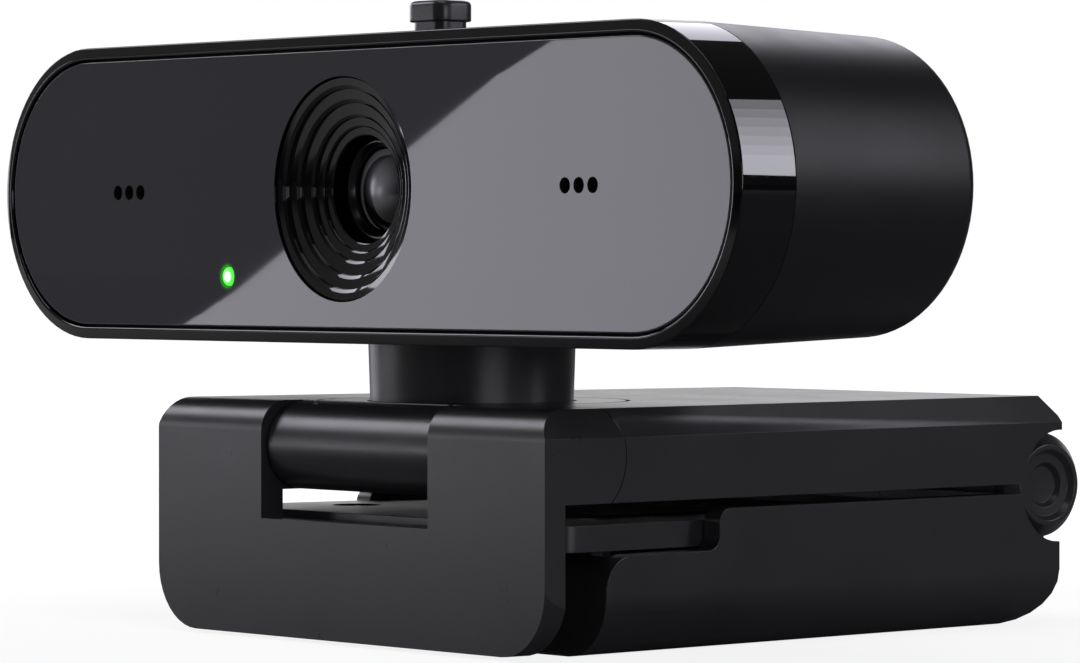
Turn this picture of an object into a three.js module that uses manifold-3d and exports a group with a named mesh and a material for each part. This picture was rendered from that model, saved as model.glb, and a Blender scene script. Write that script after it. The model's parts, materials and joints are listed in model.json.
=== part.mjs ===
// Clip-on webcam: a wide camera head that tilts on a round neck, and a folding monitor clip under it.
// Frame: millimetres, +Z up, front of the camera towards -Y. The origin lies on the swivel axis of
// the neck, on the plane that the folded clip stands on.
import * as THREE from 'three';
import { mergeVertices } from 'three/addons/utils/BufferGeometryUtils.js';
import Module from 'manifold-3d';

const wasm = await Module();
wasm.setup();

// ---------- driving sizes: shared ----------
const GAP = 0.3;                  // clearance between neighbouring pieces
const WALL = 1.8;                 // moulded wall
const BIG = 200;                  // longer than the whole object, for cutting blocks
const ROUND = 40;                 // segments of a large round
const SMALL_ROUND = 10;           // segments of a screw or a small hole
const END_STEPS = 20;             // segments of each round end of the head

// ---------- driving sizes: camera head ----------
const HEAD_WIDTH = 100;
const HEAD_HEIGHT = 25.7;
const HEAD_DEPTH = 26;
const HEAD_CENTRE_Z = 38;         // above the standing plane
const REAR_NARROWING = 0.8;       // the rear shell draws in by this at each side towards the back
const REAR_LOWERING = 0.75;       // and by this at the top and the bottom
const BEZEL_DEPTH = 5.7;          // glossy front frame
const RIM = 1.05;                 // width of the frame's front face around the glass
const GLASS_THICKNESS = 0.8;
const GLASS_INSET = 0.2;          // glass lies this far behind the rim
const SHELF_THICKNESS = 0.8;      // plate of the frame behind the glass
const REAR_EDGE_ROUND = 1.2;
const OPENING_RADIUS = 9.4;       // opening in the glass for the stepped dish
const DISH_FRONT = 0.45;          // front edge of the dish behind the rim
const DISH_STEPS = [0.75, 1.15, 1.2, 0.8, 0.65];   // width of each ring, from the outside in
const MIC_SPACING = 30.7;         // each microphone, to either side of the lens
const MIC_HOLE_PITCH = 1.7;
const MIC_HOLE_RADIUS = 0.65;
const MIC_RADIUS = 3;             // microphone capsule
const MIC_THICKNESS = 2.2;
const MIC_BOOT_WALL = 0.8;
const MIC_BOOT_FRONT = 1;         // lip of the boot in front of the capsule
const LED_X = -16.1;
const LED_Z = -7.3;
const LIGHT_RADIUS = 0.7;
const LENS_BARREL_RADIUS = 4.3;
const BOARD_FRONT = 16;           // circuit board behind the rim
const BOARD_THICKNESS = 1.2;
const SPIGOT = 1;                 // wall of the rear shell's spigot inside the bezel
const GLAND_RADIUS = 2.6;
const GLAND_WALL = 0.7;
const GLAND_COLLAR = 1;
const KNOB_DEPTH = 10.7;          // privacy knob, behind the rim
const KNOB_WIDTH = 5;
const KNOB_SHANK_HALF = 0.8;
const KNOB_RISE = 3.25;           // cap above the shell
const SHUTTER_TRAVEL = 11;
const BLADE_THICKNESS = 0.4;
const BLADE_HALF = 5.6;
const SENSOR_HALF = 3.4;
const SENSOR_THICKNESS = 0.9;
const HOLDER_WALL = 1.6;          // of the square foot behind the lens barrel
const CHIP_HALF = 4.5;
const CHIP_THICKNESS = 1;
const CHIP_SPOT = [12, 2];        // x, z on the back of the board
const SOCKET_WIDTH = 8;
const SOCKET_DEPTH = 3.3;
const SOCKET_HEIGHT = 4;
const SOCKET_X = -10;
const LAMP_HALF = 0.8;            // lamp behind the light pipe
const LAMP_THICKNESS = 0.9;

// ---------- driving sizes: neck ----------
const NECK_TO_RIM = 14.1;         // swivel axis behind the rim
const NECK_TOP_RADIUS = 8.85;
const NECK_FOOT_RADIUS = 8.63;
const TILT_ABOVE_BOTTOM = 1.6;    // tilt axis above the underside of the head
const TILT_LIMIT = 12;            // degrees, each way
const TILT_PIN_RADIUS = 0.9;
const TILT_BOSS = 3;              // width of each boss beside the neck
const NECK_RISE = 1.8;            // neck above the tilt axis
const SPINDLE_RADIUS = 2.6;
const WASHER_RADIUS = 4;
const WASHER_THICKNESS = 0.6;
const SWIVEL_SHANK = 1;           // screw that holds the neck down
const SWIVEL_HEAD = 2.6;
const SWIVEL_LENGTH = 5;

// ---------- driving sizes: clip ----------
const ARM_TOP = 20.2;
const ARM_BOTTOM = 12.6;
const CLIP_FRONT = -13.8;         // front face of the lip
const CLIP_REAR = 49.7;
const CLIP_FRONT_HALF = 26.4;     // half width at the front face
const CLIP_TAPER = 5.5;           // the clip is this much narrower at the back, on each side
const SHOULDER_DROP = 2.34;       // height of the sloping shoulder of the arm
const SHOULDER_INSET = 1.07;
const RING_RADIUS = 13.5;         // shallow ring groove around the neck
const LIP_THICKNESS = 2.3;
const LIP_BOTTOM = 0.3;
const NOTCH_HALF = 11.4;          // notch in the lip around the middle barrel
const NOTCH_BOTTOM = 10.2;
const LIP_AXIS = [-9.6, 16.35];   // y, z of the lip hinge
const BARREL_RADIUS = 3.75;
const EAR_RADIUS = 4.75;
const LIP_PIN_RADIUS = 1;
const LEG_TOP = 11.75;
const LEG_FRONT = -6.75;
const LEG_ROUND = 5;              // rounding along the underside of the leg
const REAR_AXIS = [49.4, 12.3];   // y, z of the leg hinge
const KNUCKLE_RADIUS = 4.6;
const REAR_PIN_RADIUS = 1.5;
const CENTRE_KNUCKLE_HALF = 12;   // half length of the arm's knuckle
const TONGUE_TOP = 10.75;
const TONGUE_BOTTOM = 8.55;
const TONGUE_FRONT = -9.6;
const LEG_WALL = 2;
const LEG_FLOOR = 2.4;
const LEG_INSET = 0.15;           // sides of the leg inside those of the arm
const CAP_THICKNESS = 1.8;
const CAP_RECESS = 1;             // hinge caps inside the sides of the clip
const CAP_RINGS = [3.55, 3.13, 2.76, 1.97, 1.62];   // radii of the cap's steps
const CAP_BEVEL = 1.1;
const CAP_STEP = 0.5;
const INSERT_Y = 16;              // tripod insert behind the swivel axis
const INSERT_RADIUS = 4.5;
const INSERT_BORE = 3.175;        // 1/4 inch camera thread
const INSERT_LENGTH = 6;

// ---------- driving sizes: screws and pads ----------
const SHANK_RADIUS = 0.7;         // every screw of the casings
const SCREW_HEAD_RADIUS = 1.9;
const SCREW_HEAD_HEIGHT = 0.9;
const BOSS_RADIUS = 2.2;
const CASE_SCREW_LENGTH = 8;
const CASE_POST_LENGTH = 6.3;     // posts of the bezel behind its back edge
const CASE_SEAT_LENGTH = 3;       // from those posts to the seats of the screw heads
const BOARD_SCREW_LENGTH = 4;
const COVER_SCREW_LENGTH = 4;
const LEG_SCREW_LENGTH = 5;
const PAD_HALF = 10.7;            // half width of the pads under the arm and on the leg
const PAD_LENGTH = 25;
const PAD_THICKNESS = 0.55;
const PAD_FRONT = 5;
const LIP_PAD_HALF = 18.7;
const LIP_PAD_HEIGHT = 5.2;
const LIP_PAD_BOTTOM = 1.9;
const LIP_PAD_THICKNESS = 0.8;

// ---------- derived sizes: screws ----------
const PILOT_RADIUS = SHANK_RADIUS + GAP;
const PASS_RADIUS = SHANK_RADIUS + 2 * GAP;
const HEAD_POCKET_RADIUS = SCREW_HEAD_RADIUS + GAP;

// ---------- derived sizes: head, measured from the rim's front plane and the head's centre ----------
const SHELF_FRONT = GLASS_INSET + GLASS_THICKNESS + GAP;
const SHELF_BACK = SHELF_FRONT + SHELF_THICKNESS;
const HEAD_BOTTOM = -HEAD_HEIGHT / 2;
const TILT_Z = HEAD_BOTTOM + TILT_ABOVE_BOTTOM;
const DISH_FLANGE_FRONT = SHELF_BACK + GAP;
const DISH_BACK = DISH_FLANGE_FRONT + 0.5;
const BLADE_FRONT = DISH_BACK + GAP;
const LENS_FRONT = BLADE_FRONT + BLADE_THICKNESS + GAP;
const SENSOR_FRONT = BOARD_FRONT - GAP - SENSOR_THICKNESS;
const BARREL_LENGTH = SENSOR_FRONT - 0.4 - LENS_FRONT;
const LENS_BORE = LENS_BARREL_RADIUS - 0.7;
const SWING = (TILT_LIMIT * Math.PI) / 180;
const NECK_REACH = NECK_TOP_RADIUS * Math.sin(SWING) + NECK_RISE * Math.cos(SWING);
const BOARD_BOTTOM = TILT_Z + NECK_REACH + 0.55;
const BOARD_TOP = HEAD_HEIGHT / 2 - 3.85;
const GLAND_LOCK = GLAND_RADIUS + GLAND_COLLAR - 0.2;
const GLAND_Z = BOARD_BOTTOM + GLAND_LOCK;   // cable inlet, clear of the neck when the head tilts
const CASE_SCREW_X = HEAD_WIDTH / 2 - 5.8;
const BOARD_HALF = CASE_SCREW_X - 4;
const BOARD_POST_X = BOARD_HALF - 4.2;
const BEZEL_POST_BACK = BEZEL_DEPTH + CASE_POST_LENGTH;
const CASE_SCREW_SEAT = BEZEL_POST_BACK + CASE_SEAT_LENGTH;
const INNER_BACK = HEAD_DEPTH - WALL;
const SHELL_TOP = HEAD_HEIGHT / 2 - 0.15;
const SHUTTER_TOP = HEAD_HEIGHT / 2 - WALL - GAP - SPIGOT - GAP;

// ---------- derived sizes: clip ----------
const CLIP_SLOPE = CLIP_TAPER / (CLIP_REAR - CLIP_FRONT);
const ARM_COVER_THICKNESS = 1.5;
const ARM_COVER_TOP = ARM_BOTTOM + ARM_COVER_THICKNESS;
const ARM_CEILING = ARM_TOP - 1.9;
const NECK_RECESS = 0.7;          // the neck's foot stands in a shallow round recess
const NECK_FOOT_Z = ARM_TOP - NECK_RECESS + GAP;
const LEDGE_TOP = TONGUE_BOTTOM - 0.2;
const ARM_POCKET_FRONT = LIP_AXIS[0] + EAR_RADIUS + GAP + 1.75;
const ARM_POCKET_BACK = REAR_AXIS[0] - KNUCKLE_RADIUS - GAP - 1.65;
const TONGUE_BACK = REAR_AXIS[0] - KNUCKLE_RADIUS - 3 * GAP;
const WASHER_Z = ARM_CEILING - 1.3;
const CAP_INNER = clipHalf(CLIP_REAR) - CAP_RECESS - GAP - CAP_THICKNESS;

// ---------- geometry helpers ----------
function toSolid(geometry) {
  geometry.deleteAttribute('normal');
  geometry.deleteAttribute('uv');
  const merged = mergeVertices(geometry, 1e-4);
  const index = merged.index.array;
  const mesh = new wasm.Mesh({
    numProp: 3,
    vertProperties: new Float32Array(merged.attributes.position.array),
    triVerts: new Uint32Array(index),
  });
  return new wasm.Manifold(mesh);
}

function toGeometry(solid) {
  const mesh = solid.getMesh();
  const geometry = new THREE.BufferGeometry();
  geometry.setAttribute('position', new THREE.BufferAttribute(new Float32Array(mesh.vertProperties), 3));
  geometry.setIndex(new THREE.BufferAttribute(new Uint32Array(mesh.triVerts), 1));
  const flat = geometry.toNonIndexed();
  flat.computeVertexNormals();
  return flat;
}

// box from its two corners
function block(x0, x1, y0, y1, z0, z1) {
  const geometry = new THREE.BoxGeometry(x1 - x0, y1 - y0, z1 - z0);
  geometry.translate((x0 + x1) / 2, (y0 + y1) / 2, (z0 + z1) / 2);
  return toSolid(geometry);
}

function aim(geometry, axis) {
  if (axis === 'x') {
    geometry.rotateZ(-Math.PI / 2);
  }
  if (axis === 'z') {
    geometry.rotateX(Math.PI / 2);
  }
  return geometry;
}

// round bar along an axis, from one end to the other, through the point (a, b) of the other two axes
function bar(axis, radius, from, to, a = 0, b = 0, segments = ROUND, endRadius = radius) {
  const geometry = new THREE.CylinderGeometry(endRadius, radius, to - from, segments);
  geometry.translate(0, (from + to) / 2, 0);
  aim(geometry, axis);
  if (axis === 'x') {
    geometry.translate(0, a, b);
  }
  if (axis === 'y') {
    geometry.translate(a, 0, b);
  }
  if (axis === 'z') {
    geometry.translate(a, b, 0);
  }
  return toSolid(geometry);
}

// turned piece; the profile lists [radius, distance along the axis] and starts and ends on the axis,
// or closes on itself for a ring
function turned(axis, profile, segments = ROUND) {
  const points = profile.map(([radius, along]) => new THREE.Vector2(radius, along));
  if (THREE.ShapeUtils.area(points) < 0) {
    points.reverse();
  }
  return toSolid(aim(new THREE.LatheGeometry(points, segments), axis));
}

// flat outline with both ends round
function stadium(width, height, segments) {
  const radius = height / 2;
  const reach = width / 2 - radius;
  return polygon([
    ...arcPoints(reach, 0, radius, -90, 90, segments),
    ...arcPoints(-reach, 0, radius, 90, 270, segments),
  ]);
}

function polygon(points) {
  return new THREE.Shape(points.map(([a, b]) => new THREE.Vector2(a, b)));
}

// points on an arc around (a, b), with its angles in degrees
function arcPoints(a, b, radius, start, end, steps) {
  const points = [];
  for (let i = 0; i <= steps; i += 1) {
    const angle = ((start + (end - start) * (i / steps)) * Math.PI) / 180;
    points.push([a + radius * Math.cos(angle), b + radius * Math.sin(angle)]);
  }
  return points;
}

// extrusion with its edges rounded or bevelled by `edge`, kept inside the outline
function extruded(shape, depth, edge, edgeSteps) {
  return new THREE.ExtrudeGeometry(shape, {
    depth: depth - 2 * edge,
    bevelEnabled: edge > 0,
    bevelThickness: edge,
    bevelSize: edge,
    bevelOffset: -edge,
    bevelSegments: edgeSteps,
    steps: 1,
  }).translate(0, 0, edge);
}

// outline in x and z, extruded to the back from y0 to y1
function deep(shape, y0, y1, edge = 0, edgeSteps = 1) {
  const geometry = extruded(shape, y1 - y0, edge, edgeSteps);
  geometry.rotateX(Math.PI / 2);
  geometry.translate(0, y1, 0);
  return geometry;
}

// side view in y and z, extruded across from x0 to x1
function across(shape, x0, x1, edge = 0, edgeSteps = 1) {
  const geometry = extruded(shape, x1 - x0, edge, edgeSteps);
  const turn = new THREE.Matrix4().makeBasis(
    new THREE.Vector3(0, 1, 0),
    new THREE.Vector3(0, 0, 1),
    new THREE.Vector3(1, 0, 0),
  );
  geometry.applyMatrix4(turn);
  geometry.translate(x0, 0, 0);
  return toSolid(geometry);
}

// plan in x and y, extruded upwards from z0 to z1
function upright(shape, z0, z1, edge = 0, edgeSteps = 1) {
  return toSolid(extruded(shape, z1 - z0, edge, edgeSteps).translate(0, 0, z0));
}

function unite(solids) {
  return solids.reduce((whole, solid) => whole.add(solid));
}

function carve(solid, tools) {
  return tools.reduce((rest, tool) => rest.subtract(tool), solid);
}

function mirrored(make) {
  return [make(1), make(-1)];
}

function piece(name, solid, look, position = [0, 0, 0]) {
  const material = new THREE.MeshStandardMaterial(look);
  const mesh = new THREE.Mesh(toGeometry(solid), material);
  mesh.name = name;
  mesh.position.set(...position);
  return mesh;
}

// ---------- looks ----------
const GLOSS_BLACK = { color: 0x0c0c0e, roughness: 0.12, metalness: 0 };
const MATTE_BLACK = { color: 0x17171a, roughness: 0.45, metalness: 0 };
const SATIN_GREY = { color: 0x2a2a2e, roughness: 0.4, metalness: 0 };
const GLASS_BLACK = { color: 0x26242a, roughness: 0.06, metalness: 0 };
const RUBBER_BLACK = { color: 0x1c1c1c, roughness: 0.85, metalness: 0 };
const LENS_GLASS = { color: 0x101216, roughness: 0.03, metalness: 0 };
const STEEL = { color: 0xb4b4b8, roughness: 0.3, metalness: 1 };
const BRASS = { color: 0xb08d3c, roughness: 0.3, metalness: 1 };
const BOARD_GREEN = { color: 0x145a32, roughness: 0.5, metalness: 0 };
const CHIP_BLACK = { color: 0x111111, roughness: 0.5, metalness: 0 };
const CREAM = { color: 0xd8d2c0, roughness: 0.5, metalness: 0 };
const LED_GREEN = { color: 0x6cff52, roughness: 0.3, metalness: 0 };

// ---------- head: casings ----------
// outside of the head, narrowing behind the bezel, grown or shrunk by `inset`
function headBody(y0, y1, inset, edge, edgeSteps) {
  const outline = stadium(HEAD_WIDTH - 2 * inset, HEAD_HEIGHT - 2 * inset, END_STEPS);
  const geometry = deep(outline, y0, y1, edge, edgeSteps);
  const position = geometry.attributes.position;
  for (let i = 0; i < position.count; i += 1) {
    const back = Math.max(0, position.getY(i) - BEZEL_DEPTH) / (HEAD_DEPTH - BEZEL_DEPTH);
    position.setX(i, position.getX(i) * (1 - back * (2 * REAR_NARROWING) / HEAD_WIDTH));
    position.setZ(i, position.getZ(i) * (1 - back * (2 * REAR_LOWERING) / HEAD_HEIGHT));
  }
  return toSolid(geometry);
}

// room that the neck sweeps under the tilt axis
function neckSweep() {
  const reach = (TILT_ABOVE_BOTTOM + NECK_TOP_RADIUS * Math.sin(SWING)) / Math.cos(SWING);
  const half = NECK_TOP_RADIUS * Math.cos(SWING) + reach * Math.sin(SWING) + GAP;
  const side = NECK_TOP_RADIUS + GAP;
  const plan = stadium(2 * half, 2 * side, 20);
  const slot = upright(plan, HEAD_BOTTOM - 2, TILT_Z + NECK_TOP_RADIUS * Math.sin(SWING) + 1);
  return slot.rotate([0, 0, 90]).translate([0, NECK_TO_RIM, 0]);
}

function micHoles(y0, y1) {
  const holes = [];
  for (const side of [-1, 1]) {
    for (const step of [-1, 0, 1]) {
      const x = side * MIC_SPACING + step * MIC_HOLE_PITCH;
      holes.push(bar('y', MIC_HOLE_RADIUS, y0, y1, x, 0, SMALL_ROUND));
    }
  }
  return holes;
}

function frontBezel() {
  const glassOutline = stadium(HEAD_WIDTH - 2 * RIM, HEAD_HEIGHT - 2 * RIM, END_STEPS);
  const glassPocket = toSolid(deep(glassOutline, -1, SHELF_FRONT));
  const backPocket = headBody(SHELF_BACK, BEZEL_DEPTH + 1, WALL, 0, 1);
  const body = carve(headBody(0, BEZEL_DEPTH, 0, 0.3, 1), [
    glassPocket,
    backPocket,
    bar('y', OPENING_RADIUS, 0, BEZEL_DEPTH),
    bar('y', LIGHT_RADIUS + GAP, 0, BEZEL_DEPTH, LED_X, LED_Z, SMALL_ROUND),
    ...micHoles(0, BEZEL_DEPTH),
  ]);
  const posts = mirrored((side) => (
    bar('y', BOSS_RADIUS, SHELF_BACK - 0.5, BEZEL_POST_BACK, side * CASE_SCREW_X, 0, 16)
  ));
  const pilots = mirrored((side) => (
    bar('y', PILOT_RADIUS, SHELF_BACK + 1, BEZEL_POST_BACK + 1, side * CASE_SCREW_X, 0, SMALL_ROUND)
  ));
  return carve(unite([body, ...posts]), [...pilots, neckSweep()]);
}

function frontGlass() {
  const inset = 2 * (RIM + 0.2);
  const outline = stadium(HEAD_WIDTH - inset, HEAD_HEIGHT - inset, END_STEPS);
  const pane = toSolid(deep(outline, GLASS_INSET, GLASS_INSET + GLASS_THICKNESS));
  return carve(pane, [
    bar('y', OPENING_RADIUS, -1, SHELF_FRONT),
    bar('y', LIGHT_RADIUS + GAP, -1, SHELF_FRONT, LED_X, LED_Z, SMALL_ROUND),
    ...micHoles(-1, SHELF_FRONT),
  ]);
}

function rearShell() {
  const front = BEZEL_DEPTH + 0.15;
  const inFront = block(-BIG, BIG, -BIG, front, -BIG, BIG);
  const outer = headBody(-5, HEAD_DEPTH, 0, REAR_EDGE_ROUND, 2).subtract(inFront);
  const spigot = headBody(BEZEL_DEPTH - 1.6, front + 0.5, WALL + GAP, 0, 1);
  const shell = carve(outer.add(spigot), [
    headBody(BEZEL_DEPTH - 2, front + 2, WALL + GAP + SPIGOT, 0, 1),
    headBody(front + 1.2, INNER_BACK, WALL, 0, 1),
  ]);
  const bossRadius = TILT_PIN_RADIUS + 1.5;
  const tiltBosses = mirrored((side) => {
    const x0 = side * (NECK_TOP_RADIUS + GAP + TILT_BOSS / 2) - TILT_BOSS / 2;
    const x1 = x0 + TILT_BOSS;
    const boss = bar('x', bossRadius, x0, x1, NECK_TO_RIM, TILT_Z, 16);
    const foot = block(
      x0, x1,
      NECK_TO_RIM - bossRadius, NECK_TO_RIM + bossRadius,
      HEAD_BOTTOM + WALL / 2, TILT_Z,
    );
    return boss.add(foot).intersect(outer);
  });
  const tubeRadius = HEAD_POCKET_RADIUS + 1.1;
  const screwTubes = mirrored((side) => (
    bar('y', tubeRadius, BEZEL_POST_BACK + GAP, INNER_BACK + 1, side * CASE_SCREW_X, 0, 20)
  ));
  const boardBack = BOARD_FRONT + BOARD_THICKNESS;
  const boardPosts = mirrored((side) => (
    bar('y', BOSS_RADIUS, boardBack + GAP, INNER_BACK + 1, side * BOARD_POST_X, 0, 16)
  ));
  const whole = unite([shell, ...tiltBosses, ...screwTubes, ...boardPosts]);
  const slotHalf = KNOB_SHANK_HALF + GAP;
  const pinRoom = tiltPinHalf() + 0.6;
  return carve(whole, [
    neckSweep(),
    bar('x', TILT_PIN_RADIUS + GAP, -pinRoom, pinRoom, NECK_TO_RIM, TILT_Z, SMALL_ROUND),
    block(-SHUTTER_TRAVEL - slotHalf, slotHalf, KNOB_DEPTH - slotHalf, KNOB_DEPTH + slotHalf, 5, BIG),
    bar('y', GLAND_RADIUS + GAP, INNER_BACK - 1, HEAD_DEPTH + 1, 0, GLAND_Z, 20),
    ...mirrored((side) => (
      bar('y', HEAD_POCKET_RADIUS, CASE_SCREW_SEAT, HEAD_DEPTH + 1, side * CASE_SCREW_X, 0, 16)
    )),
    ...mirrored((side) => (
      bar('y', PASS_RADIUS, BEZEL_POST_BACK, CASE_SCREW_SEAT + 1, side * CASE_SCREW_X, 0, SMALL_ROUND)
    )),
    ...mirrored((side) => (
      bar('y', PILOT_RADIUS, BOARD_FRONT, INNER_BACK, side * BOARD_POST_X, 0, SMALL_ROUND)
    )),
  ]);
}

// half length of the tilt pin, which ends inside its bosses
function tiltPinHalf() {
  return NECK_TOP_RADIUS + GAP + TILT_BOSS - 0.15;
}

// ---------- head: lens ----------
function lensDish() {
  const outside = OPENING_RADIUS - GAP;
  const flange = OPENING_RADIUS + 1.2;
  const rise = (DISH_BACK - 0.8 - DISH_FRONT) / DISH_STEPS.length;
  const steps = [[outside, DISH_FRONT]];
  let radius = outside;
  let depth = DISH_FRONT;
  for (const width of DISH_STEPS) {
    radius -= width;
    steps.push([radius, depth]);
    depth += rise;
    steps.push([radius - 0.12, depth - 0.05]);
  }
  return turned('y', [
    ...steps,
    [radius - 0.12, DISH_BACK],
    [flange, DISH_BACK],
    [flange, DISH_FLANGE_FRONT],
    [outside, DISH_FLANGE_FRONT],
    steps[0],
  ]);
}

function lensBarrel() {
  const back = LENS_FRONT + BARREL_LENGTH;
  return turned('y', [
    [LENS_BARREL_RADIUS - 0.35, LENS_FRONT],
    [LENS_BORE + 0.15, LENS_FRONT + 0.1],
    [LENS_BORE, LENS_FRONT + 0.5],
    [LENS_BORE, LENS_FRONT + 3.2],
    [LENS_BORE - 1.2, LENS_FRONT + 3.2],
    [LENS_BORE - 1.2, back],
    [LENS_BARREL_RADIUS, back],
    [LENS_BARREL_RADIUS, LENS_FRONT + 0.35],
    [LENS_BARREL_RADIUS - 0.35, LENS_FRONT],
  ], 32);
}

function frontElement() {
  const radius = LENS_BORE - 0.2;
  const curve = 1.3 * radius;
  const profile = [[0, LENS_FRONT + 2.9], [radius, LENS_FRONT + 2.9]];
  const steps = 6;
  const spread = Math.asin(radius / curve);
  for (let i = 0; i <= steps; i += 1) {
    const angle = spread * (1 - i / steps);
    profile.push([curve * Math.sin(angle), LENS_FRONT + 0.05 + curve * (1 - Math.cos(angle))]);
  }
  profile[profile.length - 1][0] = 0;
  return turned('y', profile, 32);
}

function lensHolder() {
  const front = LENS_FRONT + 4.5;
  const back = BOARD_FRONT - GAP;
  const bore = LENS_BARREL_RADIUS + GAP;
  const half = bore + HOLDER_WALL;
  return carve(block(-half, half, front, back, -half, half), [
    bar('y', bore, front - 1, back - 1.4, 0, 0, 32),
    block(-bore, bore, back - 1.6, back + 1, -bore, bore),
  ]);
}

// ---------- head: privacy shutter ----------
function roundedPlan(width, depth, radius) {
  const x = width / 2 - radius;
  const y = depth / 2 - radius;
  return polygon([
    ...arcPoints(x, -y, radius, -90, 0, 4),
    ...arcPoints(x, y, radius, 0, 90, 4),
    ...arcPoints(-x, y, radius, 90, 180, 4),
    ...arcPoints(-x, -y, radius, 180, 270, 4),
  ]);
}

function privacyKnob() {
  const capTop = SHELL_TOP + KNOB_RISE;
  const capBottom = capTop - 1.8;
  const half = KNOB_SHANK_HALF;
  const cap = upright(roundedPlan(KNOB_WIDTH, KNOB_WIDTH - 1.1, 1.2), capBottom, capTop, 0.3, 2);
  const stemPlan = roundedPlan(KNOB_WIDTH - 0.7, KNOB_WIDTH - 1.7, 1);
  const stem = upright(stemPlan, SHELL_TOP + GAP, capBottom + 0.3);
  const shank = block(-half, half, -half, half, SHUTTER_TOP - 1.2, SHELL_TOP + 1);
  return unite([cap, stem, shank]);
}

function shutterBlade() {
  const plateBottom = SHUTTER_TOP - 0.9;
  const bladeEnd = BLADE_FRONT + BLADE_THICKNESS;
  const x0 = SHUTTER_TRAVEL - BLADE_HALF;
  const x1 = SHUTTER_TRAVEL + BLADE_HALF;
  const socketHalf = KNOB_SHANK_HALF + GAP;
  const plateBack = KNOB_DEPTH + socketHalf + 1.1;
  const plate = block(-socketHalf - 1.5, x1, BLADE_FRONT, plateBack, plateBottom, SHUTTER_TOP);
  const blade = block(x0, x1, BLADE_FRONT, bladeEnd, -BLADE_HALF, plateBottom + 0.2);
  const socket = block(
    -socketHalf, socketHalf,
    KNOB_DEPTH - socketHalf, KNOB_DEPTH + socketHalf,
    0, BIG,
  );
  return carve(plate.add(blade), [socket]);
}

// ---------- head: electronics ----------
function mainBoard() {
  const board = block(
    -BOARD_HALF, BOARD_HALF,
    BOARD_FRONT, BOARD_FRONT + BOARD_THICKNESS,
    BOARD_BOTTOM, BOARD_TOP,
  );
  return carve(board, mirrored((side) => (
    bar('y', PASS_RADIUS, 0, BIG, side * BOARD_POST_X, 0, SMALL_ROUND)
  )));
}

function micBoot() {
  const front = SHELF_BACK + GAP;
  const seat = front + MIC_BOOT_FRONT;
  const back = seat + MIC_THICKNESS + 0.4;
  const mouth = MIC_RADIUS - 0.5;
  const bore = MIC_RADIUS + GAP;
  const outside = bore + MIC_BOOT_WALL;
  return turned('y', [
    [mouth, front],
    [mouth, seat],
    [bore, seat],
    [bore, back],
    [outside, back],
    [outside, front],
    [mouth, front],
  ], 20);
}

function cableGland() {
  const bore = GLAND_RADIUS - GLAND_WALL;
  const collar = GLAND_RADIUS + GLAND_COLLAR;
  return turned('y', [
    [bore, INNER_BACK - 2],
    [bore, HEAD_DEPTH + 1.2],
    [collar - 0.3, HEAD_DEPTH + 1.2],
    [collar, HEAD_DEPTH + 0.9],
    [collar, HEAD_DEPTH + GAP],
    [GLAND_RADIUS, HEAD_DEPTH + GAP],
    [GLAND_RADIUS, INNER_BACK - GAP],
    [GLAND_LOCK, INNER_BACK - GAP],
    [GLAND_LOCK, INNER_BACK - 2],
    [bore, INNER_BACK - 2],
  ], 20);
}

// screw with a round driver recess, its head's underside at 0 and its shank towards minus
function screw(axis, length, shank = SHANK_RADIUS, head = SCREW_HEAD_RADIUS) {
  const drive = head * 0.45;
  return turned(axis, [
    [0, -length],
    [shank, -length],
    [shank, 0],
    [head, 0],
    [head, SCREW_HEAD_HEIGHT],
    [drive, SCREW_HEAD_HEIGHT],
    [drive, SCREW_HEAD_HEIGHT * 0.4],
    [0, SCREW_HEAD_HEIGHT * 0.4],
  ], SMALL_ROUND);
}

// ---------- neck ----------
// sizes are measured in the clip's frame, on the swivel axis
function neck() {
  const tiltZ = HEAD_CENTRE_Z + TILT_Z;
  const top = tiltZ + NECK_RISE;
  const column = bar('z', NECK_FOOT_RADIUS, NECK_FOOT_Z, top, 0, 0, ROUND, NECK_TOP_RADIUS);
  const drum = bar('x', Math.hypot(NECK_TOP_RADIUS, TILT_ABOVE_BOTTOM), -20, 20, 0, tiltZ);
  const lower = block(-20, 20, -20, 20, 0, tiltZ);
  const spindle = bar('z', SPINDLE_RADIUS, ARM_CEILING - 0.4, NECK_FOOT_Z + 1, 0, 0, 24);
  return carve(column.intersect(drum.add(lower)).add(spindle), [
    bar('x', TILT_PIN_RADIUS + GAP, -20, 20, 0, tiltZ, SMALL_ROUND),
    bar('z', SWIVEL_SHANK + GAP, 0, NECK_FOOT_Z + 3, 0, 0, SMALL_ROUND),
  ]);
}

// ---------- clip: arm ----------
function clipHalf(y) {
  return CLIP_FRONT_HALF - CLIP_SLOPE * (y - CLIP_FRONT);
}

// plan of the clip between two distances from front to back, its sides drawn in by `inset`
function clipPlan(y0, y1, inset) {
  return polygon([
    [-clipHalf(y0) + inset, y0],
    [clipHalf(y0) - inset, y0],
    [clipHalf(y1) - inset, y1],
    [-clipHalf(y1) + inset, y1],
  ]);
}

const HULL_DEPTH = 10;

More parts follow.
